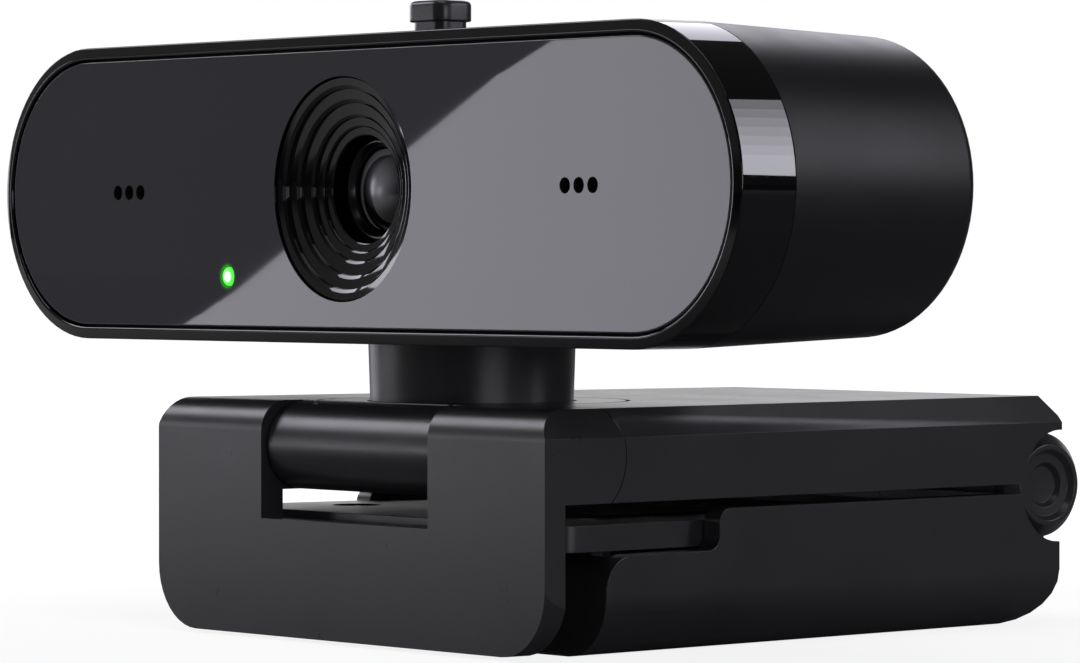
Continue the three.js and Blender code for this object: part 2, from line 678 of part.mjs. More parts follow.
// outside of the arm and the lip together: straight sides with sloping shoulders
function clipHull() {
  const hull = new THREE.ExtrudeGeometry(clipPlan(CLIP_FRONT - 3, CLIP_REAR, 0), {
    depth: ARM_TOP - SHOULDER_DROP + HULL_DEPTH,
    bevelEnabled: true,
    bevelThickness: SHOULDER_DROP,
    bevelSize: SHOULDER_INSET,
    bevelSegments: 1,
    bevelOffset: -SHOULDER_INSET,
    steps: 1,
  });
  // the hull runs on below the standing plane, where the other shapes cut it off
  hull.translate(0, 0, -HULL_DEPTH);
  const rearSlope = across(polygon([
    [CLIP_REAR - 2.3, ARM_TOP + 0.2],
    [CLIP_REAR + 0.2, ARM_TOP - 2.2],
    [CLIP_REAR + 5, ARM_TOP - 2.2],
    [CLIP_REAR + 5, ARM_TOP + 5],
    [CLIP_REAR - 2.3, ARM_TOP + 5],
  ]), -BIG, BIG);
  return carve(toSolid(hull), [rearSlope]);
}

// everything in front of the seam between the arm and the ears of the lip
function earZone(x0, x1, radius) {
  const round = bar('x', radius, x0, x1, ...LIP_AXIS);
  return round.add(block(x0, x1, -BIG, LIP_AXIS[0], -BIG, BIG));
}

function armShell() {
  const upper = clipHull().intersect(block(-BIG, BIG, -BIG, BIG, ARM_BOTTOM, BIG));
  const seam = EAR_RADIUS + GAP;
  const barrelHalf = NOTCH_HALF - GAP;
  const body = carve(upper, [
    earZone(-BIG, -barrelHalf, seam),
    earZone(barrelHalf, BIG, seam),
    block(-BIG, BIG, -BIG, LIP_AXIS[0], -BIG, BIG),
    upright(clipPlan(ARM_POCKET_FRONT, ARM_POCKET_BACK, WALL), 0, ARM_CEILING),
    block(-WASHER_RADIUS - 3, WASHER_RADIUS + 3, -WASHER_RADIUS - 0.1, 0, 0, ARM_CEILING),
  ]);
  const barrel = bar('x', BARREL_RADIUS, -barrelHalf, barrelHalf, ...LIP_AXIS);
  const hingeCut = bar('x', KNUCKLE_RADIUS + GAP, -BIG, BIG, ...REAR_AXIS);
  const belowHinge = block(-BIG, BIG, REAR_AXIS[0], BIG, -BIG, REAR_AXIS[1] + 4.5);
  const knuckle = bar('x', KNUCKLE_RADIUS, -CENTRE_KNUCKLE_HALF, CENTRE_KNUCKLE_HALF, ...REAR_AXIS);
  const web = block(
    -CENTRE_KNUCKLE_HALF, CENTRE_KNUCKLE_HALF,
    ARM_POCKET_BACK, REAR_AXIS[0],
    ARM_BOTTOM, ARM_TOP - 1,
  );
  const spots = coverScrewSpots();
  const bosses = spots.map(([x, y]) => (
    bar('z', BOSS_RADIUS, ARM_COVER_TOP + GAP, ARM_CEILING + 1, x, y, 16)
  ));
  const pilots = spots.map(([x, y]) => bar('z', PILOT_RADIUS, 0, ARM_CEILING - 0.6, x, y, SMALL_ROUND));
  const groove = turned('z', [
    [RING_RADIUS - 0.4, ARM_TOP - 0.3],
    [RING_RADIUS, ARM_TOP - 0.3],
    [RING_RADIUS, ARM_TOP + 1],
    [RING_RADIUS - 0.4, ARM_TOP + 1],
    [RING_RADIUS - 0.4, ARM_TOP - 0.3],
  ]);
  return carve(unite([carve(body, [hingeCut, belowHinge]), barrel, knuckle, web, ...bosses]), [
    ...pilots,
    groove,
    bar('x', LIP_PIN_RADIUS + GAP, -BIG, BIG, LIP_AXIS[0], LIP_AXIS[1], SMALL_ROUND),
    bar('x', REAR_PIN_RADIUS + GAP, -BIG, BIG, REAR_AXIS[0], REAR_AXIS[1], 16),
    bar('z', NECK_FOOT_RADIUS + GAP, ARM_TOP - NECK_RECESS, BIG),
    bar('z', SPINDLE_RADIUS + GAP, 0, BIG, 0, 0, 24),
  ]);
}

function coverScrewSpots() {
  const front = ARM_POCKET_FRONT + 6.8;
  const back = ARM_POCKET_BACK - 6.4;
  const frontX = clipHalf(front) - 9.8;
  const backX = clipHalf(back) - 7.2;
  return [[-frontX, front], [frontX, front], [-backX, back], [backX, back]];
}

// screw heads and the pad lie in recesses of these depths
const COVER_RECESS = 0.7;
const LEG_RECESS = 1.3;
const PAD_RECESS = PAD_THICKNESS + 0.05;

function padSeat(z0, z1) {
  const half = PAD_HALF + GAP;
  return block(-half, half, PAD_FRONT - GAP, PAD_FRONT + PAD_LENGTH + GAP, z0, z1);
}

function armCover() {
  const plan = clipPlan(ARM_POCKET_FRONT + GAP, ARM_POCKET_BACK - GAP, WALL + GAP);
  const spots = coverScrewSpots();
  return carve(upright(plan, ARM_BOTTOM, ARM_COVER_TOP), [
    padSeat(0, ARM_BOTTOM + PAD_RECESS),
    ...spots.map(([x, y]) => bar('z', PASS_RADIUS, 0, BIG, x, y, SMALL_ROUND)),
    ...spots.map(([x, y]) => bar('z', HEAD_POCKET_RADIUS, 0, ARM_BOTTOM + COVER_RECESS, x, y, 16)),
  ]);
}

// ---------- clip: lip ----------
function frontLip() {
  const earRound = 2.6;
  const back = CLIP_FRONT + LIP_THICKNESS;
  const side = polygon([
    [CLIP_FRONT, LIP_BOTTOM],
    ...arcPoints(CLIP_FRONT + earRound, ARM_TOP - earRound, earRound, 180, 90, 8),
    [0, ARM_TOP],
    [0, ARM_BOTTOM],
    [back, ARM_BOTTOM],
    [back, LIP_BOTTOM],
  ]);
  const round = bar('x', EAR_RADIUS, -BIG, BIG, ...LIP_AXIS);
  const ears = round.add(block(-BIG, BIG, -BIG, back, -BIG, BIG));
  const face = toSolid(deep(lipOutline(), CLIP_FRONT - 5, 5));
  const body = across(side, -BIG, BIG).intersect(ears).intersect(face).intersect(clipHull());
  const padHalf = LIP_PAD_HALF + GAP;
  return carve(body, [
    block(-NOTCH_HALF, NOTCH_HALF, -BIG, BIG, NOTCH_BOTTOM, BIG),
    bar('x', LIP_PIN_RADIUS + GAP, -BIG, lipPinFloor(), LIP_AXIS[0], LIP_AXIS[1], SMALL_ROUND),
    block(-padHalf, padHalf, back - 0.5, BIG, LIP_PAD_BOTTOM - GAP, LIP_PAD_BOTTOM + LIP_PAD_HEIGHT + GAP),
  ]);
}

// the pin's hole is open on the left and ends inside the right ear
function lipPinFloor() {
  return clipHalf(LIP_AXIS[0]) - 3;
}

// front view of the lip, with rounded lower corners
function lipOutline() {
  const radius = 5.5;
  const half = clipHalf(CLIP_FRONT);
  return polygon([
    ...arcPoints(half - radius, LIP_BOTTOM + radius, radius, -90, 0, 10),
    [half, ARM_TOP + 1],
    [-half, ARM_TOP + 1],
    ...arcPoints(-half + radius, LIP_BOTTOM + radius, radius, 180, 270, 10),
  ]);
}

// ---------- clip: leg ----------
// side view of the room in front of and above the leg's stepped front end
function legStep() {
  const lowFront = 3;
  const stepBack = 6.4;
  const small = 1.2;
  return polygon([
    [-BIG, -10],
    [LEG_FRONT, -10],
    ...arcPoints(LEG_FRONT + lowFront, LEDGE_TOP - lowFront, lowFront, 180, 90, 8),
    ...arcPoints(stepBack - small, LEDGE_TOP + small, small, -90, 0, 6),
    ...arcPoints(stepBack + small, LEG_TOP - small, small, 180, 90, 6),
    [stepBack + small, BIG],
    [-BIG, BIG],
  ]);
}

function legShell() {
  const plan = clipPlan(LEG_FRONT - 2 * LEG_ROUND, CLIP_REAR - 0.1, LEG_INSET);
  const hull = upright(plan, 0, LEG_TOP + 2 * LEG_ROUND, LEG_ROUND, 7);
  const body = carve(hull.intersect(block(-BIG, BIG, -BIG, BIG, -1, LEG_TOP)), [
    across(legStep(), -BIG, BIG),
    upright(clipPlan(LEG_FRONT + LEG_WALL, TONGUE_BACK + GAP, LEG_WALL + LEG_INSET), LEG_FLOOR, LEG_TOP + 1)
      .subtract(block(-BIG, BIG, TONGUE_BACK - 5.5, BIG, -BIG, TONGUE_BOTTOM - GAP)),
    bar('x', KNUCKLE_RADIUS + GAP, -BIG, BIG, ...REAR_AXIS),
    block(-BIG, BIG, REAR_AXIS[0], BIG, REAR_AXIS[1] - KNUCKLE_RADIUS - GAP, BIG),
  ]);
  const knuckleStart = CENTRE_KNUCKLE_HALF + GAP;
  const knuckleEnd = CAP_INNER - GAP;
  const knuckles = mirrored((side) => {
    const x0 = Math.min(side * knuckleStart, side * knuckleEnd);
    const x1 = Math.max(side * knuckleStart, side * knuckleEnd);
    const web = across(polygon([
      [REAR_AXIS[0] - 4.2, REAR_AXIS[1] - 1.5],
      [TONGUE_BACK + GAP / 3, REAR_AXIS[1] - 3.5],
      [REAR_AXIS[0] - 4, REAR_AXIS[1] - 6],
      [REAR_AXIS[0] + 1.5, REAR_AXIS[1] - 6],
      [REAR_AXIS[0] + 1.5, REAR_AXIS[1] - 3],
    ]), x0, x1);
    return bar('x', KNUCKLE_RADIUS, x0, x1, ...REAR_AXIS).add(web);
  });
  const insertBoss = bar('z', INSERT_RADIUS + 2, LEG_FLOOR - 0.5, INSERT_LENGTH + 1, 0, INSERT_Y, 24);
  const posts = tongueScrewSpots().map(([x, y]) => (
    bar('z', BOSS_RADIUS, LEG_FLOOR - 0.5, TONGUE_BOTTOM - GAP, x, y, 16)
  ));
  return carve(unite([body, ...knuckles, insertBoss, ...posts]), [
    bar('z', INSERT_RADIUS + GAP, -BIG, BIG, 0, INSERT_Y, 24),
    bar('x', REAR_PIN_RADIUS + GAP, -BIG, BIG, REAR_AXIS[0], REAR_AXIS[1], 16),
    ...tongueScrewSpots().map(([x, y]) => bar('z', PILOT_RADIUS, LEG_FLOOR + 1, BIG, x, y, SMALL_ROUND)),
  ]);
}

function tongueScrewSpots() {
  const front = LEG_FRONT + 6.75;
  const back = TONGUE_BACK - 8.5;
  const frontX = clipHalf(front) - 9.2;
  const backX = clipHalf(back) - 8;
  return [[-frontX, front], [frontX, front], [-backX, back], [backX, back]];
}

function legTongue() {
  const inset = LEG_WALL + LEG_INSET + GAP;
  const frontHalf = clipHalf(TONGUE_FRONT) - inset;
  const backHalf = clipHalf(TONGUE_BACK) - inset;
  const corner = 2;
  const plan = polygon([
    ...arcPoints(-frontHalf + corner, TONGUE_FRONT + corner, corner, 180, 270, 5),
    ...arcPoints(frontHalf - corner, TONGUE_FRONT + corner, corner, 270, 360, 5),
    [backHalf, TONGUE_BACK],
    [-backHalf, TONGUE_BACK],
  ]);
  const spots = tongueScrewSpots();
  return carve(upright(plan, TONGUE_BOTTOM, TONGUE_TOP), [
    padSeat(TONGUE_TOP - PAD_RECESS, BIG),
    ...spots.map(([x, y]) => bar('z', PASS_RADIUS, 0, BIG, x, y, SMALL_ROUND)),
    ...spots.map(([x, y]) => bar('z', HEAD_POCKET_RADIUS, TONGUE_TOP - LEG_RECESS, BIG, x, y, 16)),
  ]);
}

function hingeCap() {
  const face = CAP_THICKNESS;
  return turned('x', [
    [0, 0],
    [KNUCKLE_RADIUS, 0],
    [KNUCKLE_RADIUS, face - CAP_BEVEL],
    [CAP_RINGS[0], face],
    [CAP_RINGS[1], face],
    [CAP_RINGS[2], face - CAP_STEP],
    [CAP_RINGS[3], face - CAP_STEP],
    [CAP_RINGS[4], face - 2 * CAP_STEP],
    [0, face - 2 * CAP_STEP],
  ], 32);
}

function tripodInsert() {
  return turned('z', [
    [INSERT_BORE, GAP],
    [INSERT_RADIUS, GAP],
    [INSERT_RADIUS, INSERT_LENGTH],
    [INSERT_BORE, INSERT_LENGTH],
    [INSERT_BORE, GAP],
  ], 24);
}

function pad() {
  return block(-PAD_HALF, PAD_HALF, 0, PAD_LENGTH, 0, PAD_THICKNESS);
}

// ---------- assembly ----------
function headGroup() {
  const head = new THREE.Group();
  head.name = 'head';
  head.position.set(0, -NECK_TO_RIM, HEAD_CENTRE_Z);
  head.add(piece('front_bezel', frontBezel(), GLOSS_BLACK));
  head.add(piece('front_glass', frontGlass(), GLASS_BLACK));
  head.add(piece('rear_shell', rearShell(), MATTE_BLACK));
  head.add(piece('lens_dish', lensDish(), GLOSS_BLACK));
  head.add(piece('lens_barrel', lensBarrel(), MATTE_BLACK));
  head.add(piece('lens_element', frontElement(), LENS_GLASS));
  head.add(piece('lens_holder', lensHolder(), CHIP_BLACK));
  head.add(piece('main_board', mainBoard(), BOARD_GREEN));
  const sensor = block(-SENSOR_HALF, SENSOR_HALF, 0, SENSOR_THICKNESS, -SENSOR_HALF, SENSOR_HALF);
  head.add(piece('image_sensor', sensor, CHIP_BLACK, [0, SENSOR_FRONT, 0]));
  const boardBack = BOARD_FRONT + BOARD_THICKNESS + GAP;
  const chip = block(-CHIP_HALF, CHIP_HALF, 0, CHIP_THICKNESS, -CHIP_HALF, CHIP_HALF);
  head.add(piece('processor_chip', chip, CHIP_BLACK, [CHIP_SPOT[0], boardBack, CHIP_SPOT[1]]));
  const socket = block(0, SOCKET_WIDTH, 0, SOCKET_DEPTH, 0, SOCKET_HEIGHT);
  const socketSpot = [SOCKET_X - SOCKET_WIDTH / 2, boardBack, GLAND_Z + 1 - SOCKET_HEIGHT / 2];
  head.add(piece('cable_socket', socket, CREAM, socketSpot));
  const tiltPin = bar('x', TILT_PIN_RADIUS, -tiltPinHalf(), tiltPinHalf(), 0, 0, SMALL_ROUND);
  head.add(piece('tilt_pin', tiltPin, STEEL, [0, NECK_TO_RIM, TILT_Z]));
  head.add(piece('cable_gland', cableGland(), RUBBER_BLACK, [0, 0, GLAND_Z]));
  const lampBack = BOARD_FRONT - GAP;
  const lampFront = lampBack - LAMP_THICKNESS;
  const lightPipe = bar('y', LIGHT_RADIUS, GLASS_INSET + GAP, lampFront - GAP, 0, 0, SMALL_ROUND);
  head.add(piece('light_pipe', lightPipe, LED_GREEN, [LED_X, 0, LED_Z]));
  const lamp = block(-LAMP_HALF, LAMP_HALF, lampFront, lampBack, -LAMP_HALF, LAMP_HALF);
  head.add(piece('status_led', lamp, LED_GREEN, [LED_X, 0, LED_Z + LAMP_HALF]));
  for (const [side, word] of [[-1, 'left'], [1, 'right']]) {
    const micX = side * MIC_SPACING;
    head.add(piece(`mic_boot_${word}`, micBoot(), RUBBER_BLACK, [micX, 0, 0]));
    const microphone = bar('y', MIC_RADIUS, 0, MIC_THICKNESS, 0, 0, 20);
    const micFront = SHELF_BACK + MIC_BOOT_FRONT + 2 * GAP;
    head.add(piece(`microphone_${word}`, microphone, STEEL, [micX, micFront, 0]));
    const caseSpot = [side * CASE_SCREW_X, CASE_SCREW_SEAT + GAP, 0];
    head.add(piece(`case_screw_${word}`, screw('y', CASE_SCREW_LENGTH), STEEL, caseSpot));
    const boardScrew = screw('y', BOARD_SCREW_LENGTH).rotate([0, 0, 180]);
    const boardSpot = [side * BOARD_POST_X, BOARD_FRONT - GAP, 0];
    head.add(piece(`board_screw_${word}`, boardScrew, STEEL, boardSpot));
  }
  return head;
}

function shutterGroup() {
  const shutter = new THREE.Group();
  shutter.name = 'privacy_shutter';
  shutter.position.set(0, -NECK_TO_RIM, HEAD_CENTRE_Z);
  shutter.add(piece('privacy_knob', privacyKnob(), SATIN_GREY, [0, KNOB_DEPTH, 0]));
  shutter.add(piece('shutter_blade', shutterBlade(), MATTE_BLACK));
  return shutter;
}

function neckGroup() {
  const group = new THREE.Group();
  group.name = 'swivel_neck';
  group.add(piece('neck', neck(), SATIN_GREY));
  const washerBore = SWIVEL_SHANK + GAP;
  const washer = turned('z', [
    [washerBore, 0],
    [WASHER_RADIUS, 0],
    [WASHER_RADIUS, WASHER_THICKNESS],
    [washerBore, WASHER_THICKNESS],
    [washerBore, 0],
  ], 24);
  group.add(piece('swivel_washer', washer, STEEL, [0, 0, WASHER_Z]));
  const swivelScrew = screw('z', SWIVEL_LENGTH, SWIVEL_SHANK, SWIVEL_HEAD).rotate([180, 0, 0]);
  group.add(piece('swivel_screw', swivelScrew, STEEL, [0, 0, WASHER_Z - GAP]));
  return group;
}

function armGroup() {
  const group = new THREE.Group();
  group.name = 'clip_arm';
  group.add(piece('arm_shell', armShell(), SATIN_GREY));
  group.add(piece('arm_cover', armCover(), SATIN_GREY));
  const padZ = ARM_BOTTOM + PAD_RECESS - GAP - PAD_THICKNESS;
  group.add(piece('arm_pad', pad(), RUBBER_BLACK, [0, PAD_FRONT, padZ]));
  const pinStart = 0.5 - clipHalf(LIP_AXIS[0]);
  const lipPin = bar('x', LIP_PIN_RADIUS, pinStart, lipPinFloor() - GAP, 0, 0, SMALL_ROUND);
  group.add(piece('lip_pin', lipPin, STEEL, [0, ...LIP_AXIS]));
  coverScrewSpots().forEach(([x, y], i) => {
    const coverScrew = screw('z', COVER_SCREW_LENGTH).rotate([180, 0, 0]);
    const spot = [x, y, ARM_BOTTOM + COVER_RECESS - GAP];
    group.add(piece(`arm_cover_screw_${i + 1}`, coverScrew, STEEL, spot));
  });
  return group;
}

function lipGroup() {
  const group = new THREE.Group();
  group.name = 'folding_lip';
  const back = CLIP_FRONT + LIP_THICKNESS;
  group.add(piece('front_lip', frontLip(), SATIN_GREY));
  const lipPad = block(-LIP_PAD_HALF, LIP_PAD_HALF, 0, LIP_PAD_THICKNESS, 0, LIP_PAD_HEIGHT);
  group.add(piece('lip_pad', lipPad, RUBBER_BLACK, [0, back - 0.5 + GAP, LIP_PAD_BOTTOM]));
  return group;
}

function legGroup() {
  const group = new THREE.Group();
  group.name = 'folding_leg';
  group.add(piece('leg_shell', legShell(), SATIN_GREY));
  group.add(piece('leg_tongue', legTongue(), SATIN_GREY));
  group.add(piece('leg_pad', pad(), RUBBER_BLACK, [0, PAD_FRONT, TONGUE_TOP - PAD_RECESS + GAP]));
  group.add(piece('tripod_insert', tripodInsert(), BRASS, [0, INSERT_Y, 0]));
  const rearPin = bar('x', REAR_PIN_RADIUS, GAP - CAP_INNER, CAP_INNER - GAP, 0, 0, 16);
  group.add(piece('rear_pin', rearPin, STEEL, [0, ...REAR_AXIS]));
  group.add(piece('hinge_cap_right', hingeCap(), SATIN_GREY, [CAP_INNER, ...REAR_AXIS]));
  const leftCap = hingeCap().rotate([0, 0, 180]);
  group.add(piece('hinge_cap_left', leftCap, SATIN_GREY, [-CAP_INNER, ...REAR_AXIS]));
  tongueScrewSpots().forEach(([x, y], i) => {
    const tongueScrew = screw('z', LEG_SCREW_LENGTH);
    group.add(piece(`leg_screw_${i + 1}`, tongueScrew, STEEL, [x, y, TONGUE_TOP - LEG_RECESS + GAP]));
  });
  return group;
}

const webcam = new THREE.Group();
webcam.name = 'webcam';
webcam.add(armGroup());
webcam.add(lipGroup());
webcam.add(legGroup());
webcam.add(neckGroup());
webcam.add(headGroup());
webcam.add(shutterGroup());

export default webcam;
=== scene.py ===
# Looks of a webcam on its folded monitor clip. Metres, +Z up, the camera head faces -Y.
import json
import math

import bmesh
import bpy
from mathutils import Matrix, Vector


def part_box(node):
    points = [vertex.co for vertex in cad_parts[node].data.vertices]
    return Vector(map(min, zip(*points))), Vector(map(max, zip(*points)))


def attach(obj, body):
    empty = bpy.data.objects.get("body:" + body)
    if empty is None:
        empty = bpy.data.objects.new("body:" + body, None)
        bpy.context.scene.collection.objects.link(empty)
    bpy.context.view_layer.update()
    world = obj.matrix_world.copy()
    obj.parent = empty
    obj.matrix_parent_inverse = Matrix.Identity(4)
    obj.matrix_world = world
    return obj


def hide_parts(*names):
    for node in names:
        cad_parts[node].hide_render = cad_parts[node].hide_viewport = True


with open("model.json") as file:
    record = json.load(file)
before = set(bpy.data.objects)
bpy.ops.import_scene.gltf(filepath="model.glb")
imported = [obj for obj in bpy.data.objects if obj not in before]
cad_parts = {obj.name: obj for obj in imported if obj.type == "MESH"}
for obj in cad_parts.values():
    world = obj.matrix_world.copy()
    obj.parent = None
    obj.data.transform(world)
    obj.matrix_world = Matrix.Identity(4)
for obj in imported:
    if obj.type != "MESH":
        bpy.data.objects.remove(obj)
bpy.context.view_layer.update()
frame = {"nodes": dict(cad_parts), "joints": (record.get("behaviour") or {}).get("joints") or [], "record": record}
nodes = frame["nodes"]

MM = 0.001
GAP = 0.3 * MM
GLASS_GAP = 0.2 * MM
TILT_LIMIT = math.radians(12)


# ---------- places taken from the CAD nodes ----------
def middle(node):
    low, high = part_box(node)
    return (low + high) / 2


def joint(name):
    return [j for j in frame["joints"] if j["name"] == name][0]


bezel_low, bezel_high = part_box("front_bezel")
shell_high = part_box("rear_shell")[1]
RIM_Y = bezel_low.y
HEAD_Z = (bezel_low.z + bezel_high.z) / 2
HALF_WIDTH = bezel_high.x
HALF_HEIGHT = (bezel_high.z - bezel_low.z) / 2
HEAD_DEPTH = shell_high.y - RIM_Y
BEZEL_DEPTH = 5.7 * MM
NARROWING = 0.8 * MM
LOWERING = 0.75 * MM
WALL = 1.8 * MM
RIM = HALF_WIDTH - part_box("front_glass")[1].x - GLASS_GAP
RIM_SLOPE = 0.2 * MM
GLASS_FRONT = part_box("front_glass")[0].y - RIM_Y
GLASS_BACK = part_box("front_glass")[1].y - RIM_Y
SHELF_FRONT = GLASS_BACK + GAP
SHELF_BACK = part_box("lens_dish")[1].y - RIM_Y - 0.8 * MM
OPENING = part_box("lens_dish")[1].x - 1.2 * MM
DISH_SLOPE = 0.13
TILT = Vector(joint("head_tilt")["pos_m"])
NECK_TOP_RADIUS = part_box("neck")[1].x
NECK_FOOT_Z = 19.8 * MM
NECK_FOOT_RADIUS = 8.63 * MM
LIGHT_HOLE_RADIUS = 1.0 * MM
MIC_HOLE_RADIUS = 0.65 * MM
MIC_HOLE_PITCH = 1.7 * MM
LEFT, RIGHT = -1, 1


# ---------- mesh helpers ----------
def make(name, bm, angle=32):
    """Object from a bmesh, smooth except across edges sharper than the angle."""
    bmesh.ops.recalc_face_normals(bm, faces=bm.faces)
    mesh = bpy.data.meshes.new(name)
    bm.to_mesh(mesh)
    bm.free()
    obj = bpy.data.objects.new(name, mesh)
    bpy.context.scene.collection.objects.link(obj)
    shade(obj, angle)
    return obj


def shade(obj, angle=32):
    mesh = obj.data
    mesh.polygons.foreach_set("use_smooth", [True] * len(mesh.polygons))
    mesh.set_sharp_from_angle(angle=math.radians(angle))
    mesh.update()


def flatten_normals(obj):
    """Keeps the shading of flat faces flat beside their rounded edges."""
    modifier = obj.modifiers.new("normals", "WEIGHTED_NORMAL")
    modifier.keep_sharp = True
    modifier.weight = 100


def bridge(bm, rings, closed=False, caps=True):
    """Skin over rings of equal length; the ends get caps unless the rings close on themselves."""
    rows = [[bm.verts.new(p) for p in ring] for ring in rings]
    count = len(rows[0])
    pairs = list(zip(rows, rows[1:]))
    if closed:
        pairs.append((rows[-1], rows[0]))
    for a, b in pairs:
        for i in range(count):
            j = (i + 1) % count
            bm.faces.new((a[i], a[j], b[j], b[i]))
    if caps and not closed:
        bm.faces.new(list(reversed(rows[0])))
        bm.faces.new(rows[-1])
    return bm


def fillet(points, radii, steps=5, closed=False):
    """Rounds the corners of a profile; radii is one number or one per point, 0 keeps the corner."""
    count = len(points)
    if not hasattr(radii, "__len__"):
        radii = [radii] * count
    out = []
    for i, point in enumerate(points):
        p = Vector(point)
        if radii[i] == 0 or (not closed and i in (0, count - 1)):
            out.append(p)
            continue
        before = Vector(points[i - 1]) - p
        after = Vector(points[(i + 1) % count]) - p
        turn = before.angle(after)
        reach = min(radii[i] / math.tan(turn / 2), before.length * 0.49, after.length * 0.49)
        radius = reach * math.tan(turn / 2)
        a = p + before.normalized() * reach
        b = p + after.normalized() * reach
        inward = (before.normalized() + after.normalized()).normalized()
        centre = p + inward * (radius / math.sin(turn / 2))
        start, end = a - centre, b - centre
        sweep = start.angle(end)
        sign = 1 if start.x * end.y - start.y * end.x > 0 else -1
        for k in range(steps + 1):
            t = sign * sweep * k / steps
            c, s = math.cos(t), math.sin(t)
            out.append(centre + Vector((start.x * c - start.y * s, start.x * s + start.y * c)))
    return out


AXES = {
    "x": lambda along, a, b: Vector((along, a, b)),
    "y": lambda along, a, b: Vector((a, along, b)),
    "z": lambda along, a, b: Vector((a, b, along)),
}


def lathe(name, profile, axis, centre, segments=96, angle=32, closed=False, pitch=1):
    """Turned piece; the profile lists radius, distance along the axis and, on a thread, its depth."""
    bm = bmesh.new()
    rings = []
    for radius, along, *thread in profile:
        ring = []
        for i in range(segments):
            t = 2 * math.pi * i / segments
            r = max(radius, 1e-7)
            if thread:
                r += thread[0] * abs(2 * ((along / pitch + i / segments) % 1) - 1)
            ring.append(centre + AXES[axis](along, r * math.cos(t), r * math.sin(t)))
        rings.append(ring)
    bridge(bm, rings, closed=closed)
    bmesh.ops.remove_doubles(bm, verts=bm.verts, dist=5e-7)
    return make(name, bm, angle)


def apply_modifiers(obj):
    depsgraph = bpy.context.evaluated_depsgraph_get()
    mesh = bpy.data.meshes.new_from_object(obj.evaluated_get(depsgraph))
    obj.modifiers.clear()
    obj.data = mesh


def combine(obj, tools, operation="DIFFERENCE"):
    """Cuts the tools out of a piece, or joins them to it, and removes them."""
    for tool in tools:
        modifier = obj.modifiers.new("combine", "BOOLEAN")
        modifier.object = tool
        modifier.operation = operation
        modifier.solver = "EXACT"
    bpy.context.view_layer.update()
    apply_modifiers(obj)
    for tool in tools:
        bpy.data.objects.remove(tool)
    return obj


def box_tool(low, high):
    bm = bmesh.new()
    corners = ((low.x, low.y), (high.x, low.y), (high.x, high.y), (low.x, high.y))
    bridge(bm, [[Vector((x, y, z)) for x, y in corners] for z in (low.z, high.z)])
    return make("tool", bm)


def rod_tool(axis, radius, start, end, centre, segments=48):
    profile = [(0, start), (radius, start), (radius, end), (0, end)]
    return lathe("tool", profile, axis, centre, segments)


def soften(obj, width, steps=3, angle=20, keep=None):
    """Rounds the edges of a piece that are sharper than the angle by the width."""
    bm = bmesh.new()
    bm.from_mesh(obj.data)
    bmesh.ops.remove_doubles(bm, verts=bm.verts, dist=2e-6)
    bmesh.ops.dissolve_limit(
        bm, angle_limit=math.radians(0.4), verts=bm.verts, edges=bm.edges,
        use_dissolve_boundaries=False,
    )
    sharp = []
    for edge in bm.edges:
        if len(edge.link_faces) != 2 or edge.calc_face_angle(0) < math.radians(angle):
            continue
        if keep is None or keep(edge):
            sharp.append(edge)
    if sharp:
        bmesh.ops.bevel(
            bm, geom=sharp, offset=width, offset_type="OFFSET", segments=steps, profile=0.5,
            affect="EDGES", clamp_overlap=True, miter_outer="SHARP", miter_inner="SHARP",
        )
    bm.to_mesh(obj.data)
    bm.free()
    shade(obj, angle)
    return obj


def copy_of(node, name):
    obj = bpy.data.objects.new(name, nodes[node].data.copy())
    bpy.context.scene.collection.objects.link(obj)
    obj.data.materials.clear()
    return obj


def paint(obj, material, chosen):
    """Gives another material to the faces of a piece that the rule chooses."""
    obj.data.materials.append(material)
    for face in obj.data.polygons:
        if chosen(face):
            face.material_index = len(obj.data.materials) - 1


def in_hole(face, holes):
    """True on the wall of one of the small holes along Y."""
    return abs(face.normal.y) < 0.3 and any(
        math.hypot(face.center.x - x, face.center.z - z) < radius + 0.05 * MM
        for x, z, radius in holes
    )


def shelf_face(face):
    """True on the front of the bezel's shelf, right behind the glass, which gets painted shade."""
    return face.normal.y < -0.9 and abs(face.center.y - RIM_Y - SHELF_FRONT) < 0.05 * MM


def stand(obj, body, replaced, material):
    """Puts a modelled piece in the place of its CAD node."""
    obj.data.materials.clear()
    obj.data.materials.append(material)
    flatten_normals(obj)
    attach(obj, body)
    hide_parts(replaced)


# ---------- materials ----------
def principled(name, color, roughness, **sockets):
    material = bpy.data.materials.new(name)
    material.use_nodes = True
    shader = material.node_tree.nodes["Principled BSDF"]
    shader.inputs["Base Color"].default_value = (*color, 1)
    shader.inputs["Roughness"].default_value = roughness
    for key, value in sockets.items():
        shader.inputs[key.replace("_", " ")].default_value = value
    return material, material.node_tree, shader


def coordinates(tree):
    return tree.nodes.new("ShaderNodeTexCoord").outputs["Object"]


def noise(tree, where, scale, detail=3.0, roughness=0.55):
    node = tree.nodes.new("ShaderNodeTexNoise")
    node.inputs["Scale"].default_value = scale
    node.inputs["Detail"].default_value = detail
    node.inputs["Roughness"].default_value = roughness
    tree.links.new(where, node.inputs["Vector"])
    return node.outputs["Fac"]


def ramp(tree, value, low, high, start=0.3, end=0.7):
    node = tree.nodes.new("ShaderNodeValToRGB")
    node.color_ramp.elements[0].position = start
    node.color_ramp.elements[1].position = end
    node.color_ramp.elements[0].color = (*low, 1)
    node.color_ramp.elements[1].color = (*high, 1)
    tree.links.new(value, node.inputs["Fac"])
    return node.outputs["Color"]


